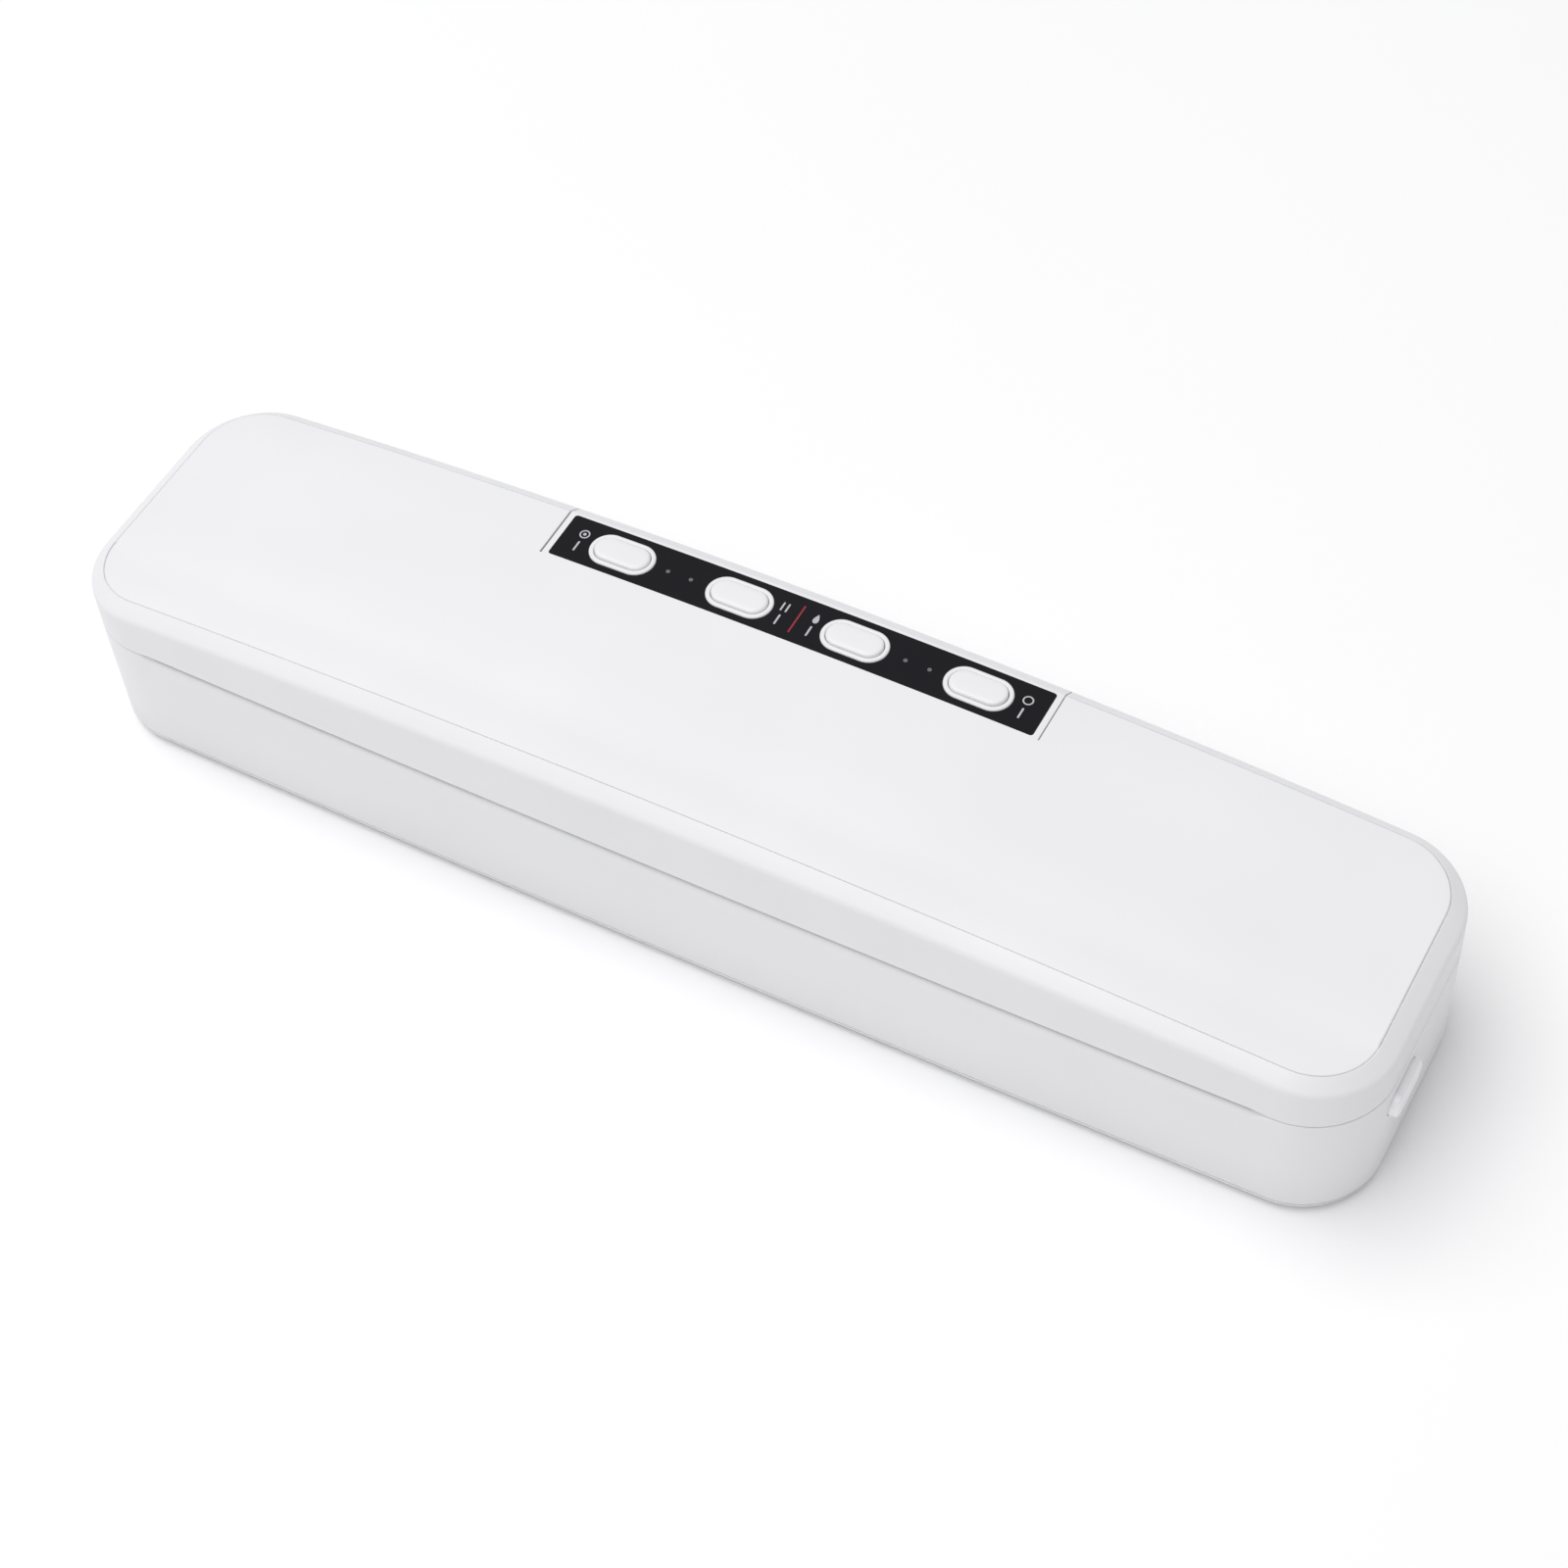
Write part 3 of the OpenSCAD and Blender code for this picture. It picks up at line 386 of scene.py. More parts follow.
class Loft:
    """A closed mesh made of rings that share one topology, and of grids that close them.

    Two rows of each grid run close together along crease_y, if that is given.
    """

    def __init__(self, crease_y=None):
        self.points = []
        self.faces = []
        self.crease_y = crease_y

    def columns(self, a, b, r):
        """(x, y) of the front boundary from the left end to the right end."""
        turn = [math.pi / 2 * i / CORNER_STEPS for i in range(CORNER_STEPS)]
        left = [(-a + r - r * math.cos(t), -b + r - r * math.sin(t)) for t in turn]
        middle = [((a - r) * s, -b) for s in SIDE]
        right = [(-x, y) for x, y in reversed(left)]
        return [(x, y * bowed(x)) for x, y in left + middle + right]

    def row_y(self, j, y):
        """Where row j crosses a column whose front end is at y."""
        if self.crease_y is None:
            return y - 2 * y * ROWS[j]
        half = -CREASE_SPLIT * y
        crease = max(self.crease_y, CREASE_FRONT * y)
        front = [y, (y + crease - half) / 2, crease - half, crease + half]
        last = len(front) - 1
        if j <= last:
            return front[j]
        return crease + half + (-y - crease - half) * (j - last) / (len(ROWS) - 1 - last)

    def ring(self, a, b, r, z):
        """Adds a ring of half length a, half width b and corner radius r; returns its indices."""
        cols = self.columns(a, b, r)
        end = len(ROWS) - 1
        loop = list(cols)
        loop += [(cols[-1][0], self.row_y(j, cols[-1][1])) for j in range(1, end)]
        loop += [(x, -y) for x, y in reversed(cols)]
        loop += [(cols[0][0], self.row_y(j, cols[0][1])) for j in range(end - 1, 0, -1)]
        start = len(self.points)
        self.points += [lifted(x, y, z) for x, y in loop]
        return list(range(start, len(self.points)))

    def inset(self, d, z):
        """Ring of the body's own outline, moved inwards by d."""
        return self.ring(HALF_L - d, HALF_W - d, CORNER_R - d, z)

    def bridge(self, rings):
        """Faces between each ring and the next."""
        for one, two in zip(rings, rings[1:]):
            n = len(one)
            for i in range(n):
                k = (i + 1) % n
                self.faces.append((one[i], one[k], two[k], two[i]))

    def close(self, loop, a, b, r, z):
        """Closes a ring with a grid of its own columns and rows."""
        cols = self.columns(a, b, r)
        n, end = len(cols), len(ROWS) - 1
        grid = {}
        for i in range(n):
            grid[i, 0] = loop[i]
            grid[i, end] = loop[2 * n + end - 2 - i]
        for j in range(1, end):
            grid[n - 1, j] = loop[n + j - 1]
            grid[0, j] = loop[2 * n + 2 * (end - 1) - j]
        for i in range(1, n - 1):
            for j in range(1, end):
                grid[i, j] = len(self.points)
                x, y = cols[i]
                self.points.append(lifted(x, self.row_y(j, y), z))
        for i in range(n - 1):
            for j in range(end):
                quad = (grid[i, j], grid[i + 1, j], grid[i + 1, j + 1], grid[i, j + 1])
                self.faces.append(quad)


def inwards(x, y, d):
    """A point of the body's outline moved inwards, square to it."""
    a, b = HALF_L - CORNER_R, HALF_W - CORNER_R
    straight = y / bowed(x)
    v = Vector((x - min(a, max(-a, x)), straight - min(b, max(-b, straight))))
    if v.length < 1e-6:
        return x, y
    v = v.normalized() * d
    return x - v.x, y - v.y


def outer_y(x, inset):
    """Rear boundary of the body's outline at x."""
    r = CORNER_R - inset
    over = max(0, abs(x) - (HALF_L - CORNER_R))
    y = HALF_W - CORNER_R + math.sqrt(max(0, r * r - over * over))
    return y * bowed(x)


# ---- base wall with its openings ----

UPSTAND = 0.32  # inner edge of the rim, which closes the line below the lid
UPSTAND_Y, UPSTAND_FADE = 24, 4  # it runs out before the hinge
LIP_IN = 2.0  # lead-in of the bag mouth
LIP_DOWN = 3.2
LIP_STEPS = 6
EDGE_R = 0.35  # rounding of the rims elsewhere


def mouth_share(x, y):
    """1 along the bag mouth at the front, 0 elsewhere."""
    return smooth((MOUTH_X + MOUTH_PAST - abs(x)) / MOUTH_FADE) if y < MOUTH_Y else 0


def base_rim(x, y):
    """Height of the base's rim, lower along the mouth."""
    return BASE_RIM - MOUTH_DOWN * mouth_share(x, y)


def upstand(x, y):
    """Height of the rim's inner edge, which stops at the mouth and before the hinge."""
    fade = smooth((UPSTAND_Y - y) / UPSTAND_FADE)
    return base_rim(x, y) + UPSTAND * (1 - mouth_share(x, y)) * fade


def lip_ring(loft, t):
    """Ring t of the rim's outer rounding: small all round, and a long lead-in at the mouth."""
    c, s = math.cos(math.pi / 2 * t), math.sin(math.pi / 2 * t)

    def height(x, y):
        m = mouth_share(x, y)
        down = EDGE_R + (LIP_DOWN - EDGE_R) * m
        return BASE_RIM - MOUTH_DOWN * m - down * (1 - s)

    ring = loft.ring(HALF_L, HALF_W, CORNER_R, height)
    for i in ring:
        x, y, z = loft.points[i]
        inset = (EDGE_R + (LIP_IN - EDGE_R) * mouth_share(x, y)) * (1 - c)
        loft.points[i] = (*inwards(x, y, inset), z)
    return ring


def build_base():
    """Side wall of the base, its rim rounded, with the lead-in of the bag mouth at the front."""
    loft = Loft()
    outer = [  # (inset, height) from the rounded foot up the drafted wall
        (TAPER + 0.25, BASE_FOOT),
        (TAPER + 0.08, BASE_FOOT + 0.08),
        (TAPER, BASE_FOOT + 0.3),
        (TAPER / 2, (BASE_FOOT + BASE_RIM) / 2),
        (0.02, BASE_RIM - 5),
    ]
    inner = [  # the upstand along the middle of the rim, then the inside of the wall
        (WALL / 2, base_rim),
        (WALL / 2 + 0.05, upstand),
        (WALL - 0.05, upstand),
        (WALL, lambda x, y: base_rim(x, y) - 0.1),
        (WALL + TAPER, BASE_FOOT),
    ]
    rings = [loft.inset(d, z) for d, z in outer]
    rings += [lip_ring(loft, k / LIP_STEPS) for k in range(LIP_STEPS + 1)]
    rings += [loft.inset(d, z) for d, z in inner]
    loft.bridge(rings + rings[:1])
    return make("base_wall", loft.points, loft.faces)


TROUGH_IN = 0.6  # the hinge trough stops short of the outer wall
TROUGH_WALL = 1.6
TROUGH_FLOOR = 1.8


def trough_section(x):
    """Block along the rear rim, from which the round hinge trough is cut."""
    rear = outer_y(x, TROUGH_IN)
    front, floor = HINGE_Y - TROUGH_R - TROUGH_WALL, HINGE_Z - TROUGH_R - TROUGH_FLOOR
    return [(front, floor), (rear, floor), (rear, BASE_RIM), (front, BASE_RIM)]


RELEASE_PLAY = 0.6
RELEASE_HOLE_X = (HALF_L - 5, HALF_L + 3)
INLET_PLAY = 0.2
INLET_Y = (HALF_W - 6, HALF_W + 4)

base = build_base()
release_hole = obround(RELEASE[0] + RELEASE_PLAY, RELEASE[1] + RELEASE_PLAY)
right_hole = end_solid("hole", [(release_hole, x) for x in RELEASE_HOLE_X])
left_hole = mirrored(right_hole)
cut(base, right_hole)
cut(base, left_hole)
add(base, both(rear_bar("trough", *TROUGH_X, trough_section)))
cut(base, both(rod_x("trough_tool", TROUGH_R, *TROUGH_X, HINGE_Y, HINGE_Z)))
cut(base, block("inlet_tool", inlet_low.x - INLET_PLAY, inlet_high.x + INLET_PLAY, *INLET_Y,
                inlet_low.z - INLET_PLAY, inlet_high.z + INLET_PLAY))

# ---- bottom cover ----

FOOT_R, FOOT_DEEP = 6.55, 1.2
FOOT_SPOTS = [(x, y) for x in (-160, 160) for y in (-29, 29)]
SCREW_HEAD_R, SCREW_HEAD_DEEP, SCREW_R = 3.1, 1.4, 1.6
SCREW_SPOTS = [(-170, -8), (170, -22), (-60, -37.4), (60, -37.4), (-70, 37.6), (122, 37.6)]
POST_R, POST_TOP = 3, 34  # posts that carry the deck
POST_SPOTS = [(-172, 22), (-84, 30), (118, 30), (172, 22)]
VENT = (22, 2)
VENT_SPOTS = [(-130 + 5 * i, 16) for i in range(9)]  # below the pump


def build_cover():
    """Bottom plate with a rolled edge, recesses for the feet, screw wells, vents and posts."""
    loft = Loft()
    profile = rounded_path(
        [(4, COVER_LOW), (2.6, COVER_LOW), (1.1, COVER_LOW + 0.7), (TAPER, COVER_TOP), (3, COVER_TOP)],
        (0.5, 0.6, 0.12),
        4,
    )
    rings = [loft.inset(d, z) for d, z in profile]
    loft.bridge(rings)
    for ring, (d, z) in ((rings[0], profile[0]), (rings[-1], profile[-1])):
        loft.close(ring, HALF_L - d, HALF_W - d, CORNER_R - d, z)
    cover = make("cover_plate", loft.points, loft.faces)
    below, through = COVER_LOW - 1, COVER_TOP + 1
    for x, y in FOOT_SPOTS:
        cut(cover, prism("t", moved(circle(FOOT_R), x, y), below, COVER_LOW + FOOT_DEEP))
    for x, y in SCREW_SPOTS:
        head, shank = circle(SCREW_HEAD_R, 40), circle(SCREW_R, 32)
        cut(cover, prism("t", moved(head, x, y), below, COVER_LOW + SCREW_HEAD_DEEP))
        cut(cover, prism("t", moved(shank, x, y), below, through))
    slot = [(q, p) for p, q in reversed(obround(*VENT, steps=10))]
    for x, y in VENT_SPOTS:
        cut(cover, prism("t", moved(slot, x, y), below, through))
    for x, y in POST_SPOTS:
        add(cover, prism("t", moved(circle(POST_R, 32), x, y), COVER_TOP - OVERLAP, POST_TOP))
    return cover


cover = build_cover()

# ---- lid ----

WALL_IN = 0.02  # keeps the lid's wall just inside the CAD box
BEVEL_RUN = 4.5  # how far the bevel round the top reaches inwards
EDGE_ROUND = 1.3
CEILING_DROP = 2
CAVITY_LOW = LID_RIM - 1
NOTCH_WALL = 1.8
NOTCH_STEPS, NOTCH_AROUND = 40, 160
SKIRT_STEPS = 28
SKIRT_TOP = LID_RIM + 0.5
SKIRT_IN = 0.03  # keeps it inside the lid's wall
SKIRT_END = 0.01  # and short of a full half circle
KNUCKLE_Y = (HINGE_Y - 4.2, HALF_W + 5)
KNUCKLE_Z = (34.7, 44.4)


def skirt_section(x):
    """Half-round rear edge of the lid, cut off flush with the lid's wall."""
    rear = min(outer_y(x, SKIRT_IN), HINGE_Y + SKIRT_R - SKIRT_END)
    end = -math.acos((rear - HINGE_Y) / SKIRT_R)
    arc = [-math.pi + (end + math.pi) * i / SKIRT_STEPS for i in range(SKIRT_STEPS + 1)]
    half_round = [(HINGE_Y + SKIRT_R * math.cos(t), HINGE_Z + SKIRT_R * math.sin(t)) for t in arc]
    return [(HINGE_Y - SKIRT_R, SKIRT_TOP), *half_round, (rear, SKIRT_TOP)]


def notch_tool(grow):
    """What the lid's rear edge clears round the control housing: a shape turned about the hinge."""
    end = NOTCH_X + grow
    rings = []
    for i in range(NOTCH_STEPS + 1):
        x = -end + 2 * end * i / NOTCH_STEPS
        r = math.hypot(HINGE_Y - HOUSING_Y + NOTCH_GAP, top_z(x) - HINGE_Z) + grow
        rings.append([(x, HINGE_Y + p, HINGE_Z + q) for p, q in circle(r, NOTCH_AROUND)])
    return solid("notch_tool", rings)


def build_lid():
    """Lid moulding: rounded rim, wall, soft edge, bevel up to the seam, and the panel's pocket."""
    loft = Loft()
    seam = (PANEL_L + SEAM_GAP, PANEL_W + SEAM_GAP, PANEL_R + SEAM_GAP)
    full_lift = EDGE_Z - EDGE_ROUND

    def sizes(run):
        """Size of the ring that lies run inwards, on the way from the wall to the seam."""
        t = run / BEVEL_RUN
        return [a + (b - a) * t for a, b in zip((HALF_L, HALF_W, CORNER_R), seam)]

    def height(z):
        """Height z at the ends, arched in full at the edge and not at all at the rim."""
        share = min(1, max(0, (z - LID_RIM - EDGE_R) / (full_lift - LID_RIM - EDGE_R)))
        return lambda x, y: z + share * CROWN * arch(x) + (1 - share) * MOUTH_UP * mouth_share(x, y)

    floor = SEAM_Z - POCKET
    profile = rounded_path(
        [(1, LID_RIM), (WALL_IN, LID_RIM), (WALL_IN, EDGE_Z), (BEVEL_RUN, SEAM_Z), (BEVEL_RUN, floor)],
        (EDGE_R, EDGE_ROUND, 0.3),
    )
    rings = [loft.ring(*sizes(run), height(z)) for run, z in profile]
    loft.bridge(rings)
    loft.close(rings[0], *sizes(profile[0][0]), height(LID_RIM))
    loft.close(rings[-1], *sizes(BEVEL_RUN), height(floor))
    lid = make("lid_body", loft.points, loft.faces)

    inside = Loft()
    size = (HALF_L - WALL, HALF_W - WALL, CORNER_R - WALL)

    def ceiling(x, y):
        return floor - CEILING_DROP + CROWN * arch(x)

    low, high = inside.ring(*size, CAVITY_LOW), inside.ring(*size, ceiling)
    inside.bridge([low, high])
    inside.close(low, *size, CAVITY_LOW)
    inside.close(high, *size, ceiling)
    cavity = make("cavity", inside.points, inside.faces)
    cut(cavity, notch_tool(NOTCH_WALL))
    cut(lid, cavity)
    add(lid, both(rear_bar("skirt", *SKIRT_X, skirt_section)))
    cut(lid, notch_tool(0))
    cut(lid, both(block("knuckle_tool", *KNUCKLE_X, *KNUCKLE_Y, *KNUCKLE_Z)))
    return lid


lid = build_lid()

# ---- top panel ----

PANEL_UP = 0.25  # how far it stands proud of the seam
PANEL_EDGE = 0.35
PANEL_FLOOR = 0.02 - POCKET
CREASE_STEP = 0.3  # how much lower the front strip starts at the crease
FRONT_SLOPE = 0.006  # its rise from the crease to the front edge
FLANGE_GAP = 0.05  # what the flange leaves of the seam
FLANGE_DOWN = 0.45  # how deep in the seam it lies
PANEL_NOTCH = 0.02


def panel_z(x, y):
    """Height of the panel: the crowned top, with its front strip a faint step lower."""
    strip = CREASE_STEP - FRONT_SLOPE * (CREASE_Y - y) if y < CREASE_Y else 0
    return top_z(x) + PANEL_UP - strip


def build_panel():
    """Arched top panel with a rounded edge, and a flange below it that closes the seam."""
    loft = Loft(crease_y=CREASE_Y)
    panel_size = (PANEL_L, PANEL_W, PANEL_R)
    wide = [size + SEAM_GAP - FLANGE_GAP for size in panel_size]
    low = loft.ring(*wide, above(PANEL_FLOOR))
    rings = [low, loft.ring(*wide, above(-FLANGE_DOWN)), loft.ring(*panel_size, above(-FLANGE_DOWN))]
    for inset, drop in fillet(PANEL_EDGE):
        size = [s - inset for s in panel_size]
        rings.append(loft.ring(*size, lambda x, y: panel_z(x, y) - drop))
    loft.bridge(rings)
    loft.close(low, *wide, above(PANEL_FLOOR))
    loft.close(rings[-1], *[s - PANEL_EDGE for s in panel_size], panel_z)
    return cut(make("top_panel", loft.points, loft.faces), notch_tool(PANEL_NOTCH))


panel = build_panel()

# ---- control strip on the base ----

HOUSING_EDGE, HOUSING_EDGE_STEPS, HOUSING_EDGE_LIMIT = 0.5, 4, 30
HOUSING_WALL = 1.8
HOUSING_FOOT = 38
HOUSING_REAR = HALF_W - 2  # its lower part stands inside the rear wall
HOUSING_CEILING = 58.6
OVERLAY_T = 1
OVERLAY_UP = 0.03
OVERLAY_R = 0.8
OVERLAY_PLAY = 0.1
RECESS_UP = 3  # how far above the top the cut for its recess reaches
LENS_R, LENS_PLAY = 0.6, 0.05
LENSES = (-39, -32, 32, 39)
CAP_PLAY = 0.16
CAP_HOLE = (CAP[0] + 2 * CAP_PLAY, CAP[1] + 2 * CAP_PLAY)
COLLAR_UP = 0.5
COLLAR_FOOT = -OVERLAY_T - 0.3
COLLAR_INNER = 0.8  # size of the collar's inner rounding next to its outer one
COLLAR_PLAY = 0.1
TOOL_Z = (40, 90)  # a cut right through the strip
HOLE_Z = (50, 80)


def housing_section(x):
    """Outline of the control housing across the strip, front to rear."""
    lift = CROWN * arch(x)
    seam_y, wall_y = (PANEL_W + 0.2) * bowed(x), HALF_W * bowed(x)
    step = BASE_RIM + 0.02
    roundings = (0.45, 0.4, EDGE_ROUND, 0.1, 0.1)
    return rounded_path(
        [(HOUSING_Y, HOUSING_FOOT), (HOUSING_Y, SEAM_Z + lift), (seam_y, SEAM_Z + lift),
         (wall_y, EDGE_Z + lift), (wall_y, step), (HOUSING_REAR, step), (HOUSING_REAR, HOUSING_FOOT)],
        roundings,
    )


def overlay_plate(play, low, high):
    """Plate that follows the crowned top between two offsets from it, with small corner radii."""
    x1, y0, y1 = OVERLAY_X + play, OVERLAY_Y[0] - play, OVERLAY_Y[1] + play

    def section(x):
        bottom, top = top_z(x) + low, top_z(x) + high
        return [(y0, bottom), (y1, bottom), (y1, top), (y0, top)]

    outline = rounded_rect(-x1, x1, y0, y1, OVERLAY_R + play)
    return combine(rear_bar("overlay", -x1, x1, section), prism("t", outline, *TOOL_Z), "INTERSECT")


def build_housing():
    """White housing with the recess of the overlay and holes for the buttons and lenses."""
    body = rear_bar("housing", -HOUSING_X, HOUSING_X, housing_section)
    add_bevel(body, HOUSING_EDGE, HOUSING_EDGE_STEPS, HOUSING_EDGE_LIMIT)
    apply_modifiers(body)
    w = HOUSING_WALL
    cut(body, block("t", w - HOUSING_X, HOUSING_X - w, HOUSING_Y + w, HOUSING_REAR - w,
                    HOUSING_FOOT - 1, HOUSING_CEILING))
    cut(body, overlay_plate(OVERLAY_PLAY, -OVERLAY_T, RECESS_UP))
    for x in BUTTONS.values():
        cut(body, prism("t", at(x, obround(*CAP_HOLE)), *HOLE_Z))
    for x in LENSES:
        cut(body, prism("t", at(x, circle(LENS_R, 24)), *HOLE_Z))
    return body


def collar(x):
    """Raised ring round a button, rounded inside and out."""
    edge = fillet(COLLAR_UP)
    outer = [(at(x, obround(*COLLAR)), above(COLLAR_FOOT))]
    outer += [(at(x, obround(*COLLAR, inset)), above(COLLAR_UP - drop)) for inset, drop in edge]
    k = COLLAR_INNER
    rising = [(at(x, obround(*CAP_HOLE, -d * k)), above(COLLAR_UP - drop * k)) for d, drop in edge]
    inner = rising[::-1] + [(at(x, obround(*CAP_HOLE)), above(COLLAR_FOOT))]
    return stack("collar", outer + inner, closed=True)


housing = build_housing()
collars = join("button_rings", *[collar(x) for x in BUTTONS.values()])
overlay = overlay_plate(0, -OVERLAY_T, OVERLAY_UP)
for x in BUTTONS.values():
    cut(overlay, prism("t", at(x, obround(*[size + COLLAR_PLAY for size in COLLAR])), *TOOL_Z))
for x in LENSES:
    cut(overlay, prism("t", at(x, circle(LENS_R + LENS_PLAY, 24)), *TOOL_Z))

# (inset, offset from the top) of a button cap's soft edge and flat crown
DOME = [(0, -0.75), (0.06, -0.5), (0.2, -0.3), (0.42, -0.15), (0.8, -0.06), (1.6, -0.02), (2.8, 0),
        (3.9, 0)]
FLANGE_RIM = 2  # how much larger than the cap the flange below the housing is
FLANGE_Z = (57.5, 58.5)
STEM_R, STEM_Z = 2, 54.95


def build_cap(name, x):
    """Button cap: flange under the housing, obround body, domed top, and a stem to its switch."""
    flange = obround(CAP[0] + FLANGE_RIM, CAP[1] + FLANGE_RIM)
    rings = [(flange, FLANGE_Z[0]), (flange, FLANGE_Z[1]), (obround(*CAP), FLANGE_Z[1])]
    rings += [(obround(*CAP, inset), top_z(x) + CAP_UP + dz) for inset, dz in DOME]
    body = stack(name, [(at(x, outline), z) for outline, z in rings])
    return add(body, prism("t", at(x, circle(STEM_R, 32)), STEM_Z, FLANGE_Z[0] + OVERLAP))


caps = {key: build_cap(key + "_cap", x) for key, x in BUTTONS.items()}

# ---- printing on the overlay: plain signs, no lettering ----

PRINT_TOP = 0.08  # height of the printed shapes over the crowned top
SIGN_UP = 2.3  # sign and dash lie either side of the button line
SIGN_X = {"vacuum": -66.2, "seal": -4.7, "wet": 4.7, "dry": 66.2}
DASH = (0.55, 3.6)
RING_R, RING_LINE = 1.5, 0.4
DOT_R = 0.5
BARS_X, BARS = (-0.75, 0.75), (0.5, 3)
DROP = (1.1, 1.6)
DIVIDER = (0.5, 10)


def printed(name, outline):
    """Flat printed shape lying on the crowned overlay."""
    return stack(name, [(outline, above(0)), (outline, above(PRINT_TOP))])


def printed_ring(name, x, y):
    outer = moved(circle(RING_R, 40), x, y)
    inner = moved(circle(RING_R - RING_LINE, 40), x, y)
    low, high = above(0), above(PRINT_TOP)
    return stack(name, [(outer, low), (outer, high), (inner, high), (inner, low)], closed=True)


def bar(name, x, y, dx, dy):
    """Printed bar with round ends."""
    r = min(dx, dy) / 2.2
    return printed(name, rounded_rect(x - dx / 2, x + dx / 2, y - dy / 2, y + dy / 2, r, 4))


def drop_outline():
    turns = [2 * math.pi * i / 40 for i in range(40)]
    width, height = DROP
    return [(width * math.sin(t) * math.sin(t / 2) ** 1.2, height * math.cos(t)) for t in turns][::-1]


def sign(key):
    """A small sign for each button and a dash below it."""
    x, y = SIGN_X[key], BUTTON_Y + SIGN_UP
    parts = [bar("dash", x, BUTTON_Y - SIGN_UP, *DASH)]
    if key in ("vacuum", "dry"):
        parts.append(printed_ring("ring", x, y))
    if key == "vacuum":
        parts.append(printed("dot", moved(circle(DOT_R, 24), x, y)))
    if key == "seal":
        parts += [bar("bar", x + dx, y, *BARS) for dx in BARS_X]
    if key == "wet":
        parts.append(printed("drop", moved(drop_outline(), x, y)))
    return join(key + "_sign", *parts)


signs = join("overlay_signs", *[sign(key) for key in BUTTONS])
divider = bar("overlay_divider", 0, BUTTON_Y, *DIVIDER)

# ---- end buttons and their springs ----

# (inset, drop) of an end button's soft edge
RELEASE_EDGE = [(0, 0.9), (0.05, 0.6), (0.18, 0.34), (0.4, 0.16), (0.7, 0.06), (1.3, 0.02), (2.2, 0),
                (3.4, 0)]
RELEASE_X = (185.5, button_high.x)
SPRING_X = (164.4, 171)
COIL_R = 1.8
WIRE_R = 0.35
SPRING_TURNS, SPRING_STEPS, WIRE_AROUND = 4, 32, 12
SPRING_SHARP = 60


def build_release():
    """Cap of the right end button."""
    rings = [(obround(*RELEASE), RELEASE_X[0])]
    rings += [(obround(*RELEASE, inset), RELEASE_X[1] - drop) for inset, drop in RELEASE_EDGE]
    return end_solid("release_cap", rings)


def build_spring():
    """Round wire wound into a helix along X, behind the latch slider of the right end button."""
    count = SPRING_TURNS * SPRING_STEPS
    rings = []
    for i in range(count + 1):
        t = 2 * math.pi * i / SPRING_STEPS
        x = SPRING_X[0] + (SPRING_X[1] - WIRE_R - SPRING_X[0]) * i / count
        ring = []
        for k in range(WIRE_AROUND):
            a = 2 * math.pi * k / WIRE_AROUND
            q = COIL_R + WIRE_R * math.cos(a)
            y, z = RELEASE_Y + q * math.cos(t), RELEASE_Z + q * math.sin(t)
            ring.append((x + WIRE_R * math.sin(a), y, z))
        rings.append(ring)
    return solid("spring", rings, sharp=SPRING_SHARP)


releases = {"right": build_release()}
releases["left"] = settle(mirrored(releases["right"]))
springs = {"right": build_spring()}
springs["left"] = settle(mirrored(springs["right"]), SPRING_SHARP)

# ---- procedural materials, one for each slot of the record ----

COLOURS = {m["slot"]: m["base_color"] for m in frame["record"]["materials"]}
PATTERN_RANGE = (0.3, 0.7)  # the part of a noise pattern's range that is used


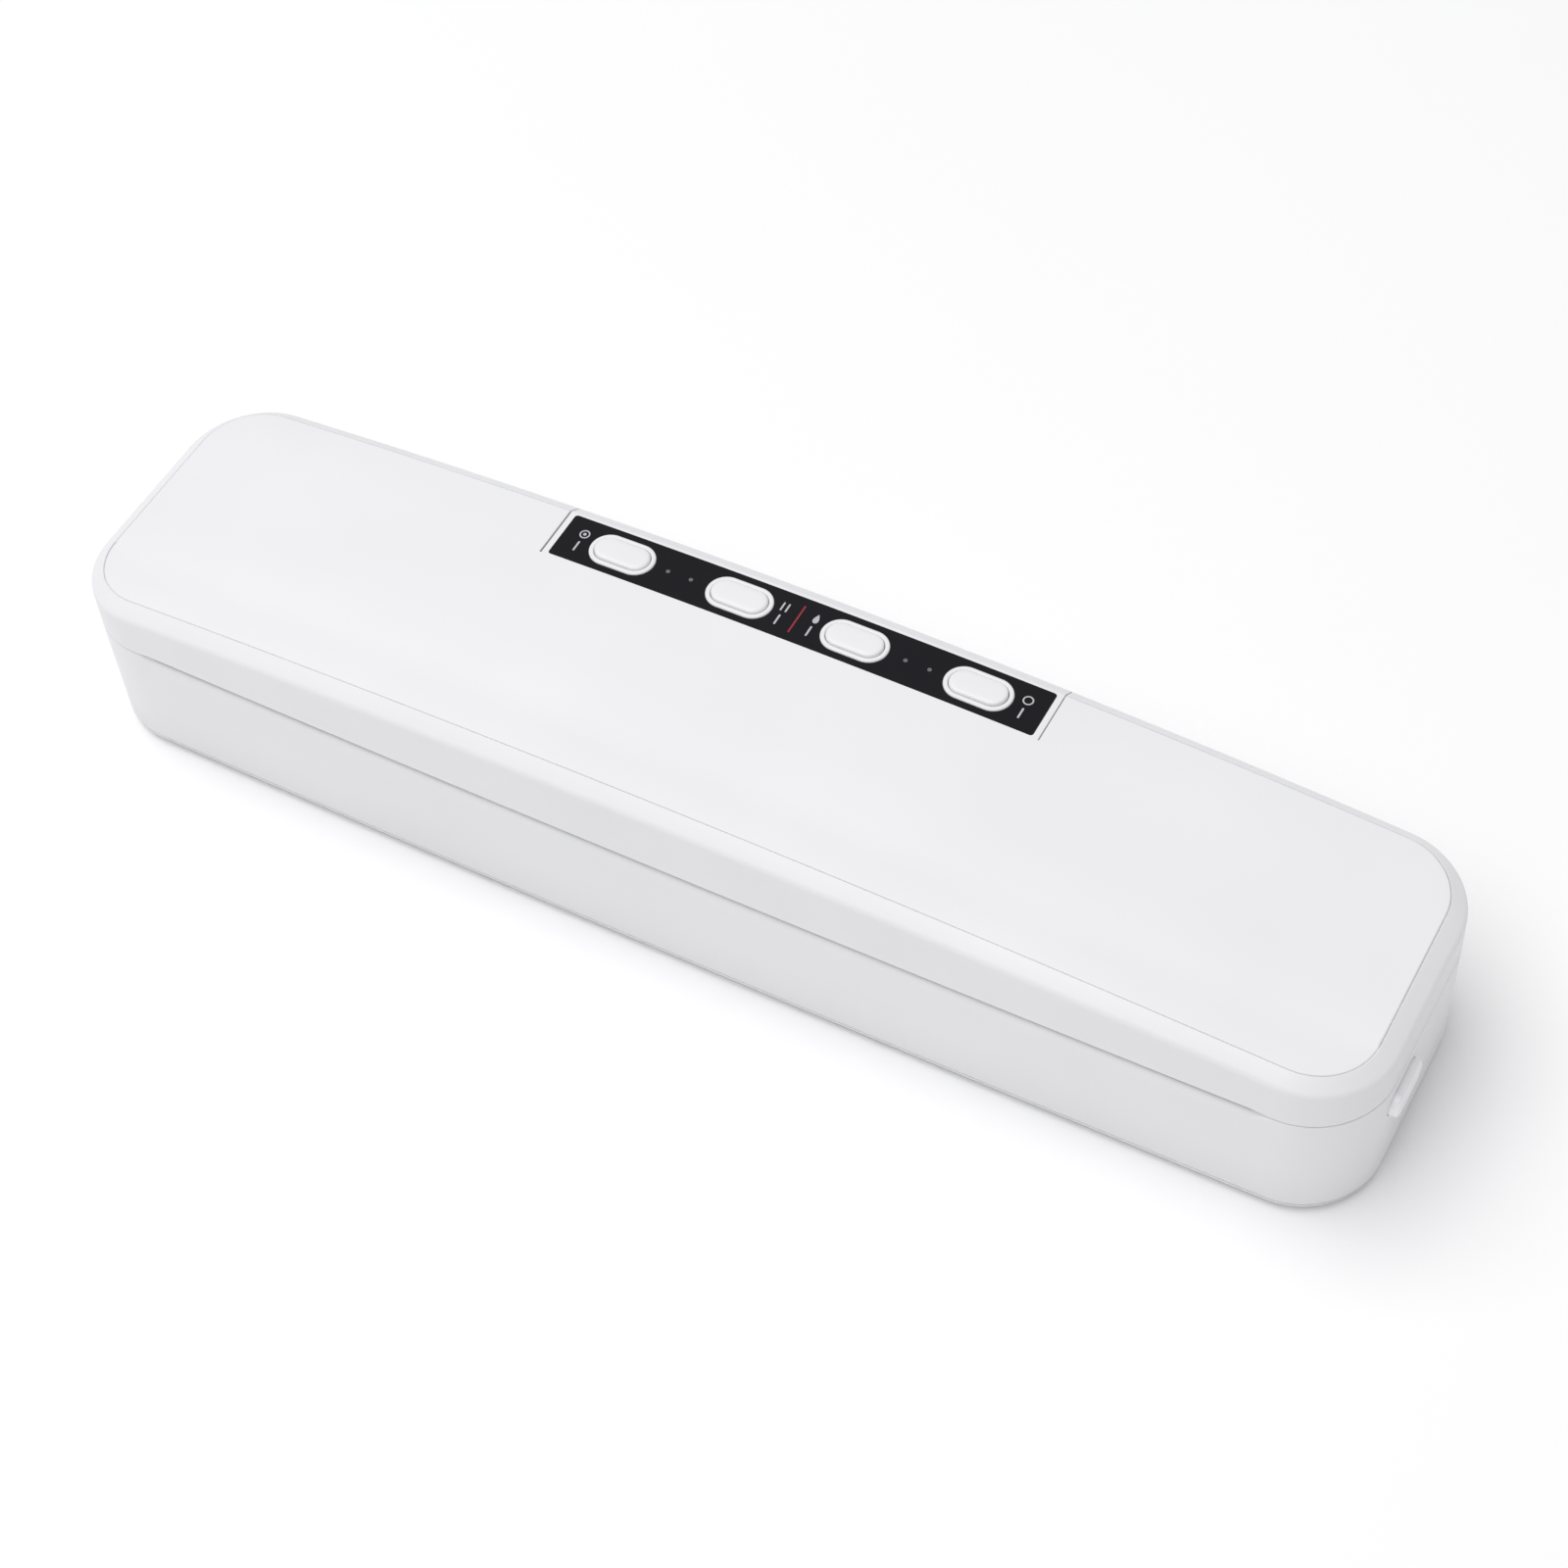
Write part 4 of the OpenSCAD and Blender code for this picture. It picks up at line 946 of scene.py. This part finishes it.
class Shader:
    """Small wrapper round a material's nodes, all driven by object coordinates."""

    def __init__(self, name, colour, roughness, metallic=0.0, specular=0.5, coat=0.0):
        self.material = bpy.data.materials.new(name)
        self.material.use_nodes = True
        self.tree = self.material.node_tree
        self.shader = self.tree.nodes["Principled BSDF"]
        self.colour = colour
        self.roughness = roughness
        self.set("Base Color", (*colour, 1))
        self.set("Roughness", roughness)
        self.set("Metallic", metallic)
        self.set("Specular IOR Level", specular)
        self.set("Coat Weight", coat)
        self.coords = self.tree.nodes.new("ShaderNodeTexCoord").outputs["Object"]
        self.normal = None

    def set(self, socket, value):
        self.shader.inputs[socket].default_value = value

    def link(self, out, socket):
        self.tree.links.new(out, socket)

    def node(self, kind, **values):
        """A new node with the given values on its sockets; _ stands for a space in their names."""
        node = self.tree.nodes.new(kind)
        for socket, value in values.items():
            node.inputs[socket.replace("_", " ")].default_value = value
        return node

    def stretched(self, scale):
        """Object coordinates scaled by axis."""
        node = self.node("ShaderNodeMapping", Scale=scale)
        self.link(self.coords, node.inputs["Vector"])
        return node.outputs["Vector"]

    def noise(self, scale, detail=2.0, stretch=None):
        node = self.node("ShaderNodeTexNoise", Scale=scale, Detail=detail)
        self.link(self.stretched(stretch) if stretch else self.coords, node.inputs["Vector"])
        return node.outputs["Fac"]

    def cells(self, scale):
        node = self.node("ShaderNodeTexVoronoi", Scale=scale)
        self.link(self.coords, node.inputs["Vector"])
        return node.outputs["Distance"]

    def bands(self, scale, axis):
        node = self.node("ShaderNodeTexWave", Scale=scale)
        node.bands_direction = axis
        self.link(self.coords, node.inputs["Vector"])
        return node.outputs["Fac"]

    def rough(self, pattern, change):
        """Roughness that varies by change either way."""
        node = self.node("ShaderNodeMapRange", From_Min=PATTERN_RANGE[0], From_Max=PATTERN_RANGE[1],
                         To_Min=self.roughness - change, To_Max=self.roughness + change)
        self.link(pattern, node.inputs["Value"])
        self.link(node.outputs["Result"], self.shader.inputs["Roughness"])

    def tint(self, pattern, darker, lighter=1.0):
        """Colour that wanders between two shades of the base colour."""
        node = self.node("ShaderNodeValToRGB")
        for stop, position, shade in zip(node.color_ramp.elements, PATTERN_RANGE, (darker, lighter)):
            stop.position = position
            stop.color = (*[min(1, c * shade) for c in self.colour], 1)
        self.link(pattern, node.inputs["Fac"])
        self.link(node.outputs["Color"], self.shader.inputs["Base Color"])

    def bump(self, pattern, strength, depth_mm):
        """Relief, on top of any relief made before."""
        node = self.node("ShaderNodeBump", Strength=strength, Distance=depth_mm * MM)
        self.link(pattern, node.inputs["Height"])
        if self.normal:
            self.link(self.normal, node.inputs["Normal"])
        self.normal = node.outputs["Normal"]
        self.link(self.normal, self.shader.inputs["Normal"])


def moulded(slot, roughness, grain=900, depth=0.01, strength=0.3, shade=0.97, specular=0.5, bright=1.0):
    """Moulded plastic: fine grain, slow changes of gloss and a trace of colour variation."""
    s = Shader(slot, COLOURS[slot], roughness, specular=specular)
    s.rough(s.noise(45, 3), 0.04)
    s.tint(s.noise(18), shade * bright, bright)
    s.bump(s.noise(grain, 4), strength, depth)
    return s.material


def metal(slot, roughness, stretch):
    """Metal with fine drawn or brushed lines, long in the axis that stretch shrinks."""
    s = Shader(slot, COLOURS[slot], roughness, metallic=1.0)
    lines = s.noise(350, 3, stretch)
    s.rough(lines, 0.08)
    s.tint(s.noise(60, 3), 0.88)
    s.bump(lines, 0.25, 0.01)
    return s.material


def foam(slot):
    """Closed-cell foam rubber."""
    s = Shader(slot, COLOURS[slot], 0.9, specular=0.25)
    s.tint(s.noise(900, 4), 0.7, 1.5)
    s.rough(s.noise(400), 0.06)
    s.bump(s.cells(1500), 0.8, 0.12)
    return s.material


def weave(slot):
    """Coated glass cloth with threads both ways."""
    s = Shader(slot, COLOURS[slot], 0.42, specular=0.4)
    s.tint(s.noise(500, 3), 0.82, 1.08)
    s.rough(s.noise(700), 0.08)
    s.bump(s.bands(420, "X"), 0.5, 0.04)
    s.bump(s.bands(420, "Y"), 0.5, 0.04)
    return s.material


def board(slot):
    """Solder mask over copper."""
    s = Shader(slot, COLOURS[slot], 0.3, coat=0.3)
    s.tint(s.cells(260), 0.65, 1.5)
    s.rough(s.noise(300), 0.08)
    s.bump(s.noise(600, 3), 0.4, 0.03)
    return s.material


def winding(slot):
    """Tape wound in layers."""
    s = Shader(slot, COLOURS[slot], 0.45)
    s.tint(s.noise(120), 0.8, 1.05)
    s.rough(s.noise(200), 0.08)
    s.bump(s.bands(160, "Z"), 0.6, 0.1)
    return s.material


def ink(name, colour):
    """Screen-printed ink."""
    s = Shader(name, colour, 0.5)
    s.tint(s.noise(900, 3), 0.9)
    s.rough(s.noise(500), 0.06)
    return s.material


# roughness, and what differs from plain moulded plastic
MOULDED = {
    "white_shell": (0.36, dict(specular=0.45, bright=0.925)),
    "satin_panel": (0.46, dict(grain=1500, depth=0.012, strength=0.35, specular=0.4, bright=0.915)),
    "button_white": (0.38, dict(grain=1600, bright=0.95)),
    "gloss_black": (0.24, dict(grain=300, depth=0.004, strength=0.15, shade=0.85, specular=0.14,
                               bright=0.45)),
    "lens_grey": (0.22, dict(grain=800, shade=0.9, bright=0.45)),
    "liner_grey": (0.55, dict(grain=1400, depth=0.03, strength=0.5)),
    "tray_grey": (0.28, {}),
    "silicone": (0.6, dict(grain=700, depth=0.02, shade=0.92)),
    "heater_resin": (0.5, dict(grain=500, depth=0.03, shade=0.75)),
    "black_plastic": (0.5, dict(grain=1100, depth=0.03, strength=0.5, shade=0.8)),
    "nylon": (0.42, dict(shade=0.93)),
    "component_blue": (0.35, dict(shade=0.85)),
    "component_green": (0.45, dict(shade=0.85)),
}
# roughness, and the stretch of the brushed lines
METALS = {
    "resistance_alloy": (0.35, (0.05, 1, 1)),
    "brass_contact": (0.3, (1, 1, 0.1)),
    "zinc_steel": (0.35, (0.1, 1, 1)),
    "heat_sink_metal": (0.4, (1, 1, 0.05)),
}
PATTERNED = {"foam_rubber": foam, "ptfe_tape": weave, "circuit_board": board, "winding_tape": winding}

MATERIALS = {slot: moulded(slot, roughness, **finish) for slot, (roughness, finish) in MOULDED.items()}
MATERIALS.update({slot: recipe(slot) for slot, recipe in PATTERNED.items()})
MATERIALS.update({slot: metal(slot, *finish) for slot, finish in METALS.items()})
# Copy of the shell's white for the end buttons, glossier and made lighter: painted light, standing in
# for the light their domed caps catch.
RELEASE_WHITE_PAINTED_LIGHT = moulded("white_shell", 0.28, specular=0.6, bright=1.06)
INK_GREY = ink("ink_grey", (0.5, 0.5, 0.53))
INK_RED = ink("ink_red", (0.3, 0.012, 0.02))

# ---- each piece's finish, its body, and the CAD nodes that it stands for ----


def place(piece, body, slot, *nodes, material=None):
    piece.data.materials.clear()
    piece.data.materials.append(material or MATERIALS[slot])
    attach(piece, body)
    if nodes:
        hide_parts(*nodes)


place(base, "base", "white_shell", "base_shell")
place(cover, "base", "white_shell", "bottom_cover")
place(lid, "lid", "white_shell", "lid_shell")
place(panel, "lid", "satin_panel", "lid_panel")
place(housing, "base", "white_shell", "control_housing")
place(collars, "base", "white_shell")
place(overlay, "base", "gloss_black", "control_overlay")
place(signs, "base", "gloss_black", material=INK_GREY)
place(divider, "base", "gloss_black", material=INK_RED)
for key, cap in caps.items():
    place(cap, key + "_key", "button_white", key + "_button")
# The end buttons take the lighter copy of the shell's white, with its painted light.
for side, release in releases.items():
    place(release, "release_" + side, "white_shell", "release_button_" + side, material=RELEASE_WHITE_PAINTED_LIGHT)

for side, spring in springs.items():
    place(spring, "release_" + side, "zinc_steel", "latch_spring_" + side)
    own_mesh(spring)

# ---- CAD nodes that stay: edges rounded, finish from their slots ----

EDGE = {
    "rubber_feet": 0.5, "lower_gasket": 0.7, "upper_gasket": 0.7, "seal_press_strip": 0.6,
    "drip_tray": 0.3, "deck_plate": 0.3, "lid_liner": 0.3, "power_inlet": 0.4, "pump_motor": 0.5,
    "pump_head": 0.8, "lid_knuckles": 0.25, "base_knuckles": 0.25, "transformer": 0.4, "relay": 0.5,
}
FINE_EDGE = 0.12
NO_EDGE = {"heating_element", "heater_tape", "indicator_lenses"}
EDGE_STEPS = 2
SLOTS = {part["node"]: part["material_slot"] for part in frame["record"]["subparts"]}

for name, obj in NODES.items():
    obj.data.materials.clear()
    obj.data.materials.append(MATERIALS[SLOTS[name]])
    if name not in NO_EDGE:
        add_bevel(obj, EDGE.get(name, FINE_EDGE), EDGE_STEPS, SHARP)

# ---- floor, light and camera, in metres ----

FLOOR_REACH = 4.0
LIGHT_AT = Vector((-0.7, -0.6, 3.0))  # it points at the origin
LIGHT_SIZE = (4.0, 2.6)
LIGHT_POWER = 81
SKY = (0.98, 0.98, 1.0)
SKY_STRENGTH = 0.47
LENS = 75.66
SENSOR = 36
CAMERA_AT = Vector((295.56, -453.2, 717.78)) * MM
CAMERA_RIGHT = Vector((0.87871, 0.47461, -0.05115))
CAMERA_UP = Vector((-0.34700, 0.70865, 0.61434))
CAMERA_BACK = Vector((0.32782, -0.52208, 0.78738))

floor_shader = Shader("floor", (0.97, 0.97, 0.97), 0.6, specular=0.2)
floor_shader.tint(floor_shader.noise(3), 0.99)
floor_mesh = bpy.data.meshes.new("floor")
floor_signs = ((-1, -1), (1, -1), (1, 1), (-1, 1))
floor_corners = [(sx * FLOOR_REACH, sy * FLOOR_REACH, 0) for sx, sy in floor_signs]
floor_mesh.from_pydata(floor_corners, [], [(0, 1, 2, 3)])
floor_mesh.materials.append(floor_shader.material)
floor = new_object("floor", floor_mesh)

light_data = bpy.data.lights.new("overhead", "AREA")
light_data.shape = "RECTANGLE"
light_data.size, light_data.size_y = LIGHT_SIZE
light_data.energy = LIGHT_POWER
light = new_object("overhead", light_data)
light.location = LIGHT_AT
light.rotation_euler = (-LIGHT_AT).to_track_quat("-Z", "Y").to_euler()

world = bpy.data.worlds.new("studio")
world.use_nodes = True
sky = world.node_tree.nodes["Background"]
sky.inputs["Color"].default_value = (*SKY, 1)
sky.inputs["Strength"].default_value = SKY_STRENGTH
bpy.context.scene.world = world
bpy.context.scene.view_settings.view_transform = "Standard"

camera_data = bpy.data.cameras.new("camera")
camera_data.sensor_width = SENSOR
camera_data.lens = LENS
camera = new_object("camera", camera_data)
turn = Matrix((CAMERA_RIGHT, CAMERA_UP, CAMERA_BACK)).transposed().to_4x4()
camera.matrix_world = Matrix.Translation(CAMERA_AT) @ turn
bpy.context.scene.camera = camera
